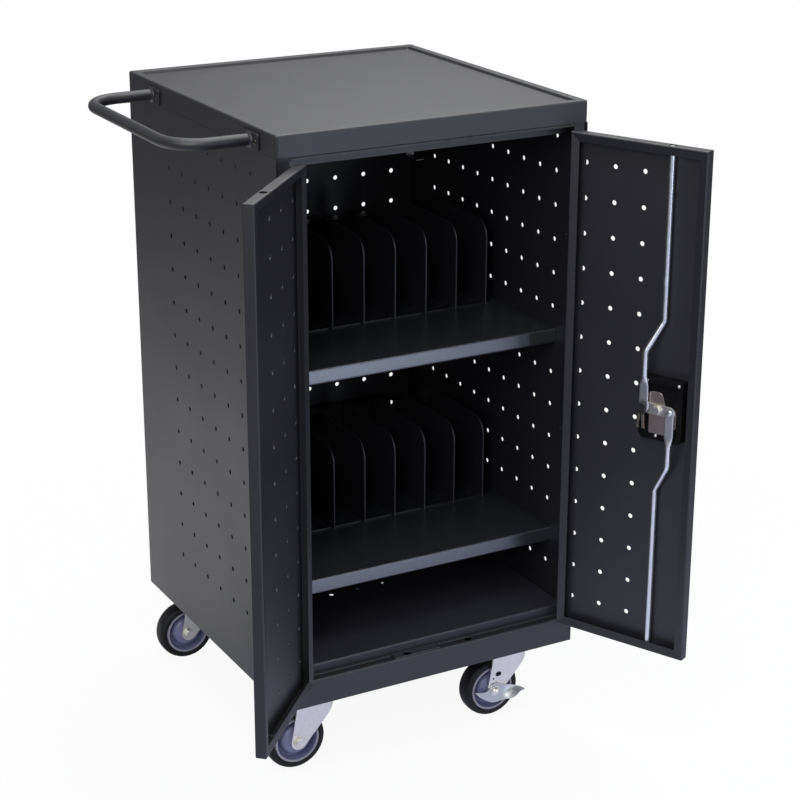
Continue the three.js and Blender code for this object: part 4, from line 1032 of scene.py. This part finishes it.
class CART_OT_doors(bpy.types.Operator):
    """Door pans with their perforated skins, and the hinges"""

    bl_idname = "cart.doors"
    bl_label = "Doors"

    def execute(self, context):
        self.pan("left", LEFT_DOOR, None)
        self.pan("right", RIGHT_DOOR, (81.6, 104.6, (LOCK_X + 1.5 - DOOR_WIDTH / 2, 480 - (DOOR_BOTTOM + DOOR_TOP) / 2)))
        for side in ("left", "right"):
            for level in HINGE_LEVELS:
                node = f"{side}_{level}_hinge_"
                softened(node + "pintle", f"{side}_{level}_pintle", "cabinet", "coat", 0.6)
                softened(node + "barrel", f"{side}_{level}_barrel", side + "_door", "coat", 0.6)
        return {"FINISHED"}

    def pan(self, side, place, opening):
        sheet, edge = size("sheet"), 3.2
        middle = (DOOR_BOTTOM + DOOR_TOP) / 2
        rows = (DOOR_WIDTH - 2 * edge, DOOR_TOP - DOOR_BOTTOM - 2 * edge)
        flat = perforated(*rows, 3, 14, (53.4, 58.2), (73.85 - DOOR_WIDTH / 2, 480.7 - middle), opening)
        form = standing(flat, "-Y", (DOOR_WIDTH / 2, sheet, middle))
        loops = []
        for inset, depth in folded([(edge, 0), (0, 0), (0, DOOR_THICKNESS), (15, DOOR_THICKNESS - 2.6)], sheet, 0.9):
            loop = rounded_rectangle(inset, DOOR_WIDTH - inset, DOOR_BOTTOM + inset, DOOR_TOP - inset, 0.8, 2)
            lean = 0.8 if inset > 12 else 0
            loops.append([(x, depth - lean * (x < 20), z) for x, z in loop])
        form.rings(loops, closed=True)
        for name, z in (("lower", DOOR_BOTTOM), ("upper", DOOR_TOP)):
            x = ROD_X[name] if side == "right" else SPARE_ROD_X
            form = drilled(form, "Z", (x, ROD_Y, 0), 12.5, z - 4, z + 4)
        add_piece(form, side + "_leaf", side + "_door", place, ["coat"], [side + "_door"], bevel=0)


class CART_OT_lock(bpy.types.Operator):
    """Lock of the right door: cup, bracket, cam, rods, keys and turning grip"""

    bl_idname = "cart.lock"
    bl_label = "Lock"

    def execute(self, context):
        self.cup()
        self.bracket()
        softened("lock_cam", "cam", "lock", "zinc", 0.4)
        softened("turn_handle", "grip", "lock", "zinc", 1.2)
        self.rod("upper", 1, LOCK_X - 24, DOOR_TOP - 1)
        self.rod("lower", -1, LOCK_X + 24, DOOR_BOTTOM + 1)
        self.keys()
        return {"FINISHED"}

    def cup(self):
        left, right, low, high = LOCK_X - 39, LOCK_X + 42, 428, 532
        profile = [(4.0, 18.0), (2.6, 17.2), (2.0, 15.5), (2.0, 0.4), (1.2, -1.5), (0, -2.3), (-4, -2.3), (-5, -1.6)]
        profile += [(-5, -0.3), (0, -0.3), (0, 19.0), (0.3, 19.7), (1.0, 20.0), (9, 20.0), (9.6, 19.6), (9.8, 19.0)]
        loops = []
        for inset, depth in profile:
            slope = 9 * max(0, (depth - 15) / 5) ** 1.6
            corner = max(6 - inset * 0.6, 1)
            loop = rounded_rectangle(left + inset + slope, right - inset, low + inset, high - inset, corner, 5)
            loops.append([(x, depth, z) for x, z in loop])
        form = Form().rings(loops)
        form = drilled(form, "Y", (LOCK_X, 0, LOCK_Z), 12.8, 15, 25)
        for level in (high - 14, high - 11):
            form.prism(rounded_rectangle(LOCK_X - 16, right - 12, level - 0.7, level + 0.7, 0.5), "Y", 18.5, 21.0)
        add_piece(form, "lock_tray", "right_door", RIGHT_DOOR, ["black"], ["lock_cup"], bevel=0)
        corners = [(LOCK_X - 22, high - 5), (right - 7, high - 5), (LOCK_X - 3, low + 8)]
        points = [((x, 20.0, z), (0, 1, 0), 2.8) for x, z in corners]
        screws("lock_screws", "right_door", RIGHT_DOOR, points)

    def bracket(self):
        """A plate with a round lobe above the shaft and an arm under the lower rod."""
        shape = [(-15.5, -42), (15.5, -42), (33, -27), (33, 4), (14, 6), (7, 29), (-18.5, 29), (-18.5, 8), (-15.5, 0)]
        shape = rounded_polygon(shape, [3, 3, 4, 4, 8, 9, 9, 2, 2], 5)
        form = Form().prism([(LOCK_X + x, LOCK_Z + z) for x, z in shape], "Y", 20.3, 22.3)
        form = drilled(form, "Y", (LOCK_X, 0, LOCK_Z), 13.2, 18, 25)
        # The plate takes the warm zinc, whose colour carries a painted warm reflection.
        add_piece(form, "lock_plate", "right_door", RIGHT_DOOR, ["warm"], ["lock_bracket"], bevel=0.5)

    def rod(self, name, way, eye_x, tip):
        """A rod that is flattened where it is riveted to the cam, and stands off to the door's edge."""
        blade, radius = 26.65, size("rod") / 2
        stations, radii = [], []
        for turn in range(0, 91, 15):
            reach = 8 * math.cos(math.radians(turn))
            width = 8 * math.sin(math.radians(turn)) ** (1 if way > 0 else 0.2)
            stations.append(Vector((eye_x, blade, LOCK_Z - way * reach)))
            radii.append((max(width, 1.0), 1.25, 0.3))
        length = 54 if way > 0 else 58
        for share in (0.7, 0.85, 1.0):
            stations.append(Vector((eye_x, blade, LOCK_Z + way * length * share)))
            soft = (share - 0.7) / 0.3
            radii.append((8 + (radius - 8) * soft, 1.25 + (radius - 1.25) * soft, 0.3 + 0.7 * soft))
        start, end = LOCK_Z + way * 94, LOCK_Z + way * 144
        corners = [(eye_x, blade, LOCK_Z + way * length), (eye_x, blade, start)]
        corners += [(ROD_X[name], ROD_Y, end), (ROD_X[name], ROD_Y, tip - way * 3)]
        straight = bent(corners, 18, 6)[1:]
        stations += straight + [Vector((ROD_X[name], ROD_Y, tip))]
        radii += [radius] * len(straight) + [radius - 1.4]
        form = Form().tube(stations, radii, (1, 0, 0), 20)
        form.turned([(0, 24.5), (3.4, 24.5), (4.5, 27.8), (4.3, 29.2), (3.0, 29.9), (0, 29.9)], "Y", (eye_x, 0, LOCK_Z), 24)
        node = name + "_lock_rod"
        add_piece(form, name + "_bar", name + "_rod", RIGHT_DOOR, ["rod"], [node], bevel=0)

    def keys(self):
        """Two keys that fan out from one moulded head."""
        x, low, high, face = LOCK_X - 24, 472.5, 491.5, 30.2
        head = rounded_rectangle(x - 7.5, x + 7.5, low, high, 4, 6)
        form = bevelled(Form().prism(head, "Y", face, face + 5), 1.2, 3)
        teeth = [(2.1, -33), (2.1, -30), (1.3, -28), (2.1, -26), (1.0, -23), (2.1, -20), (2.1, -8), (-2.1, -8), (-2.1, -33)]
        for side in (-1, 1):
            fan = Matrix.Rotation(math.radians(side * 4.5), 2)
            blade = [Vector((x + side * 2.4, LOCK_Z)) + fan @ Vector(point) for point in teeth]
            form.prism([tuple(point) for point in blade], "Y", face + 1.5, face + 3.5, 1)
        add_piece(form, "keys", "upper_rod", RIGHT_DOOR, ["plastic", "brass"], ["key_pair"], bevel=0)


class CART_OT_casters(bpy.types.Operator):
    """Swivel casters with their wheels and brake pedals"""

    bl_idname = "cart.casters"
    bl_label = "Casters"

    def execute(self, context):
        for name, (x, y) in CASTERS.items():
            place = CABINET @ Matrix.Translation((x, y, 0))
            self.mount(name, place)
            self.fork(name, place)
            self.wheel(name, place)
            self.bolt(name, place)
            if name in BRAKED:
                self.pedal(name, place)
        return {"FINISHED"}

    def mount(self, name, place):
        plate = Form().prism(rounded_rectangle(-50, 50, -37, 37, 6), "Z", -3.3, -FIT)
        form = bevelled(plate, 0.6)
        race = [(0, -3.0), (25.5, -3.0), (27, -4.4), (27, -6.8), (25.8, -8.8), (26.2, -9.6), (24.5, -11.3), (0, -11.3)]
        form.turned(race, "Z", (0, 0, 0), 48)
        pin = [(0, -11), (6, -11), (6, -14.9), (10.4, -14.9), (11, -15.6), (11, -17.8), (9.6, -18.9), (0, -18.9)]
        form.turned(pin, "Z", (0, 0, 0), 32)
        add_piece(form, name + "_mount", "cabinet", place, ["zinc"], [name + "_caster_plate"], bevel=0)

    def fork(self, name, place):
        """A pressed fork that wraps the leading side. The braked ones are punched beside the pedal."""
        top, foot, reach, side, plate = -11.6, -103, 28, 23, 3
        walls = folded([(-60, side), (reach, side), (reach, -side), (-60, -side)], plate, 14, 6)
        wrap = Form().prism(walls, "Z", foot, top)
        end = arc((-TRAIL, AXLE_Z), 14, 180, 315, 10)
        shape = [(reach + 1, top + 1), (-TRAIL, top + 1), (-TRAIL, top)] + end + [(reach + 1, top - 17)]
        shape = rounded_polygon(shape, [0] * (len(shape) - 1) + [14], 6)
        wrap = carved(wrap, Form().prism(shape, "Y", -side - 1, side + 1), "INTERSECT")
        crown = rounded_polygon([(-TRAIL, -side), (reach, -side), (reach, side), (-TRAIL, side)], [1, 17, 17, 1], 6)
        form = carved(wrap, Form().prism(crown, "Z", top - plate, top), "UNION")
        form = drilled(form, "Y", (-TRAIL, 0, AXLE_Z), 12.9, -side - 1, side + 1)
        if name in BRAKED:
            punch = rounded_rectangle(-40, -28.5, -61, -52.5, 3.5)
            form = carved(form, Form().prism(punch, "Y", -side - 1, 0))
            form = drilled(form, "Y", (-44, 0, -64), 3.6, -side - 1, 0)
        add_piece(form, name + "_yoke", name + "_swivel", place, ["zinc"], [name + "_fork"], bevel=0.9)

    def wheel(self, name, place):
        centre = (-TRAIL, 0, AXLE_Z)
        dome = [(6.3, 19.7), (12, 19.7), (13.2, 18.8), (14.4, 17.4), (19, 16.4), (23, 14.6), (25.8, 11.6), (27.4, 7.6)]
        rim = [(28.4, 2.6), (29.4, 1.6), (33, 1.6), (34, 2.8), (35.2, 13.4), (36, 15.2), (39.6, 15.2), (40.4, 14.4)]
        half = dome + rim
        profile = [(r, -y) for r, y in half] + half[::-1]
        hub = Form().turned(profile, "Y", centre, 56, closed=True)
        # The ring at the rim's edge takes the paler finish, a painted highlight.
        for way in (-1, 1):
            ring = [(36, way * 14.6), (40.1, way * 14.6), (39.8, way * 15.8), (36.4, way * 15.8)]
            hub.turned(ring, "Y", centre, 56, closed=True, finish=1)
        add_piece(hub, name + "_centre", name + "_wheel", place, ["hub", "rim"], [name + "_hub"], bevel=0)
        flank = [(40.8, 14.6), (41.8, 15.6), (45.5, 16.0), (48.8, 15.0), (50.8, 12.6), (52.0, 9.0), (52.5, 4.5)]
        band = [(r, -y) for r, y in flank] + [(52.5, 0)] + flank[::-1]
        tyre = Form().turned(band, "Y", centre, 72, closed=True)
        add_piece(tyre, name + "_tread", name + "_wheel", place, ["tyre"], [name + "_tyre"], bevel=0)

    def bolt(self, name, place):
        """An axle bolt with a hexagon nut behind. Its head is a hexagon, or a dome beside a pedal."""
        seat, back = (-26.1 if name in BRAKED else -FIT - 23), 23 + FIT
        form = Form().turned([(0, seat), (6, seat), (6, back), (0, back)], "Y", (-TRAIL, 0, AXLE_Z), 32)
        hexagon = [(-TRAIL + x, AXLE_Z + z) for x, z in arc((0, 0), 9.5, 0, 300, 5)]
        form.absorb(settled(bevelled(Form().prism(hexagon, "Y", back, back + 7), 0.9, 3).as_object("nut")))
        if name in BRAKED:
            dome = [(0, -33), (2.5, -32.8), (5, -31.7), (7, -29.8), (8, -27.6), (8.1, -27), (9.2, -27), (9.2, seat), (0, seat)]
            form.turned(dome, "Y", (-TRAIL, 0, AXLE_Z), 32)
        else:
            form.absorb(settled(bevelled(Form().prism(hexagon, "Y", seat - 7, seat), 0.9, 3).as_object("head")))
        add_piece(form, name + "_bolt", name + "_swivel", place, ["zinc"], [name + "_axle"], bevel=0)

    def pedal(self, name, place):
        """A pressed lever: a release tail, an eye on the axle and a foot that leans outwards."""
        flat = -24.6
        upper = [(-40, 5.5), (-29, 2), (-16, 1), (-12, 6), (-8, 11.5), (0, 14.5), (7, 14), (14, 9), (22, 7), (30, 5), (38, 2)]
        upper += [(46, -1), (54, -6), (62, -11.5)]
        lower = [(-40, 4, 0), (-28, -9, 0), (-18, -15, 0), (-12, -19, 0), (-7, -21, 0), (0, -23, 0), (8, -22, 0)]
        lower += [(14, -20, -3), (20, -16, -11), (27, -13.5, -17), (34, -8, -19), (41, -5, -16), (51, -8, -8), (61, -12.5, -1)]
        loops = []
        for (ux, uz), (lx, lz, out) in zip(upper, lower):
            shares = [k / 4 for k in range(5)]
            loops.append([
                (-TRAIL + ux + (lx - ux) * k, flat + out * k * k, AXLE_Z + uz + (lz - uz) * k) for k in shares
            ])
        form = drilled(pressed(loops, 2.4), "Y", (-TRAIL, 0, AXLE_Z), 13.2, -60, 0)
        add_piece(form, name + "_brake", name + "_pedal", place, ["satin"], [name + "_brake_pedal"], bevel=0)


class CART_OT_fasteners(bpy.types.Operator):
    """Screws of the walls and the casters"""

    bl_idname = "cart.fasteners"
    bl_label = "Fasteners"

    def execute(self, context):
        walls = []
        for side in (-1, 1):
            for k in range(2):
                walls.append(((side * (HALF - 1.8 - size("sheet")), 49, 379 + 340 * k), (-side, 0, 0), 3.0))
            for k in range(6):
                walls.append(((side * (HALF - 11), DEPTH, 70 + 155 * k), (0, 1, 0), 3.6))
        screws("wall_screws", "cabinet", CABINET, walls, "dull")
        bolts = []
        for x, y in CASTERS.values():
            for dx in (-40, 40):
                for dy in (-28, 28):
                    bolts.append(((x + dx, y + dy, -3.3), (0, 0, -1), 5.5))
        screws("caster_bolts", "cabinet", CABINET, bolts)
        return {"FINISHED"}


class CART_OT_stage(bpy.types.Operator):
    """Floor, world, lamps and camera"""

    bl_idname = "cart.stage"
    bl_label = "Stage"

    def execute(self, context):
        scene = context.scene
        scene.view_settings.view_transform = "Standard"
        self.world(scene)
        self.floor(scene)
        self.lamps(scene)
        self.camera(scene)
        return {"FINISHED"}

    def world(self, scene):
        """White where it is seen, dimmer as light."""
        world = bpy.data.worlds.new("studio")
        scene.world = world
        world.use_nodes = True
        g = Graph(world.node_tree)
        path = g.node("ShaderNodeLightPath", out="Is Camera Ray")
        rays = path.out.node.outputs
        seen = g.node("ShaderNodeMath", {"operation": "MAXIMUM"}, {
            0: path, 1: Sock(g, rays["Is Transmission Ray"]),
        })
        mirrored = Sock(g, rays["Is Glossy Ray"])
        strength = seen + (1 - seen) * (mirrored * 0.32 + (1 - mirrored) * 0.30)
        tint = g.mix((0.93, 0.95, 1.0), (1.0, 1.0, 1.0), seen)
        background = g.node("ShaderNodeBackground", None, {"Color": tint, "Strength": strength})
        g.node("ShaderNodeOutputWorld", None, {"Surface": background})

    def floor(self, scene):
        """A pale floor that shows white and keeps a soft shadow."""
        form = Form().prism(rounded_rectangle(-14, 14, -14, 14, 13.9, 24), "Z", -0.02, -0.0005)
        floor = form.as_object("floor_disc")
        material, g, where = new_finish("studio_floor")
        seen = g.node("ShaderNodeLightPath", out="Is Camera Ray")
        mirrored = Sock(g, seen.out.node.outputs["Is Glossy Ray"])
        reach = g.node("ShaderNodeVectorMath", {"operation": "LENGTH"}, {0: where}, out="Value")
        far = reach.above(1.75, 0.95)
        clear = reach.above(1.3, 0.6)
        along = g.node("ShaderNodeSeparateXYZ", None, {"Vector": where}, out="Y")
        behind = along.above(0.2, 0.5)
        ahead = g.node("ShaderNodeVectorMath", {"operation": "DISTANCE"}, {0: where, 1: (0.35, -0.9, 0)}, out="Value")
        # The paint fades from pale near the cart to dark grey further off: a painted falloff of the lamps' light.
        near = g.mix((0.83, 0.84, 0.86), (0.87, 0.88, 0.90), g.noise(where, 3, 2))
        paint = g.node("ShaderNodeBsdfDiffuse", None, {"Color": g.mix(near, (0.16, 0.16, 0.17), far)})
        # In reflections the floor glows as painted light: bluish and bright in front, bright behind, fading with
        # distance, brighter on the camera's side, with painted shade under the cart.
        sheen = g.mix((0.72, 0.75, 1.0), (1.0, 1.0, 1.0), behind)
        glow = g.mix((1, 1, 1), sheen, mirrored)
        back_light = 1 - reach.above(2.6, 1.0) * 0.88
        facing = g.node("ShaderNodeVectorMath", {"operation": "DISTANCE"}, {0: where, 1: (-0.8, -2.4, 0)}, out="Value")
        front_light = 0.70 - ahead.above(1.4, 0.7) * 0.60 + (1 - facing.above(0.9, 0.4)) * 0.75
        under = g.node("ShaderNodeVectorMath", {"operation": "DISTANCE"}, {0: where, 1: (0, 0.25, 0)}, out="Value")
        painted_shade_under_cart = under.above(0.30, 0.10) * 0.7 + 0.3
        sheen_light = (behind * back_light + (1 - behind) * front_light) * painted_shade_under_cart
        strength = mirrored * sheen_light + (1 - mirrored)
        white = g.node("ShaderNodeEmission", None, {"Color": glow, "Strength": strength})
        share = seen * (clear * 0.08 + 0.92) + mirrored * 0.9
        shader = g.node("ShaderNodeMixShader", None, {0: share, 1: paint, 2: white})
        g.node("ShaderNodeOutputMaterial", None, {"Surface": shader})
        floor.data.materials.append(material)

    def lamps(self, scene):
        """Soft boxes above, at the front left and at the right."""
        for name, place, span, power in (
            ("overhead", (0.0, -0.2, 3.4), 3.0, 70),
            ("key", (-2.6, -2.6, 2.6), 3.0, 80),
            ("fill", (2.8, -2.4, 1.8), 2.4, 20),
            ("front", (1.1, -3.3, 0.5), 1.4, 17),
            ("rear", (1.2, 1.7, 3.0), 2.0, 26),
        ):
            lamp = bpy.data.lights.new(name, "AREA")
            lamp.shape = "DISK"
            lamp.size = span
            lamp.energy = power
            lamp.color = (0.70, 0.78, 1.0) if name == "front" else (1.0, 1.0, 1.0)
            obj = bpy.data.objects.new(name, lamp)
            aim = Vector((0, 0, 0.55)) - Vector(place)
            obj.matrix_world = Matrix.Translation(place) @ aim.to_track_quat("-Z", "Y").to_matrix().to_4x4()
            scene.collection.objects.link(obj)

    def camera(self, scene):
        turn, rise, roll = (math.radians(a) for a in (-28.95, 19.92, 0.122))
        back = Vector((math.sin(turn) * math.cos(rise), -math.cos(turn) * math.cos(rise), math.sin(rise)))
        right = Vector((0, 0, 1)).cross(back).normalized()
        up = back.cross(right)
        level = Matrix((right, up, back)).transposed().to_4x4()
        lens = bpy.data.cameras.new("photo_view")
        lens.lens = 91.21
        lens.sensor_width = 36
        camera = bpy.data.objects.new("photo_view", lens)
        place = CABINET @ Vector((-1527.6, -2642.8, 1598.5))
        camera.matrix_world = Matrix.Translation(place) @ level @ Matrix.Rotation(roll, 4, "Z")
        scene.collection.objects.link(camera)
        scene.camera = camera


class CART_PT_panel(bpy.types.Panel):
    """Sizes, finishes and build steps of the cart"""

    bl_idname = "CART_PT_panel"
    bl_label = "Laptop charging cart"
    bl_space_type = "VIEW_3D"
    bl_region_type = "UI"
    bl_category = "Cart"

    def draw(self, context):
        for group in (context.scene.cart_sizes, context.scene.cart_finish):
            box = self.layout.box()
            for key in group.bl_rna.properties.keys():
                if key not in ("rna_type", "name"):
                    box.prop(group, key)
        for step in STEPS:
            self.layout.operator(step.bl_idname)


STEPS = (
    CART_OT_stage,
    CART_OT_shell,
    CART_OT_front_frame,
    CART_OT_shelves,
    CART_OT_power,
    CART_OT_handle,
    CART_OT_doors,
    CART_OT_lock,
    CART_OT_casters,
    CART_OT_fasteners,
)
CLASSES = (CartSizes, CartFinish, *STEPS, CART_PT_panel)


def register():
    for cls in CLASSES:
        bpy.utils.register_class(cls)
    bpy.types.Scene.cart_sizes = PointerProperty(type=CartSizes)
    bpy.types.Scene.cart_finish = PointerProperty(type=CartFinish)


def unregister():
    del bpy.types.Scene.cart_finish
    del bpy.types.Scene.cart_sizes
    for cls in reversed(CLASSES):
        bpy.utils.unregister_class(cls)


def main():
    register()
    for step in STEPS:
        family, name = step.bl_idname.split(".")
        getattr(getattr(bpy.ops, family), name)()


if __name__ == "__main__":
    main()
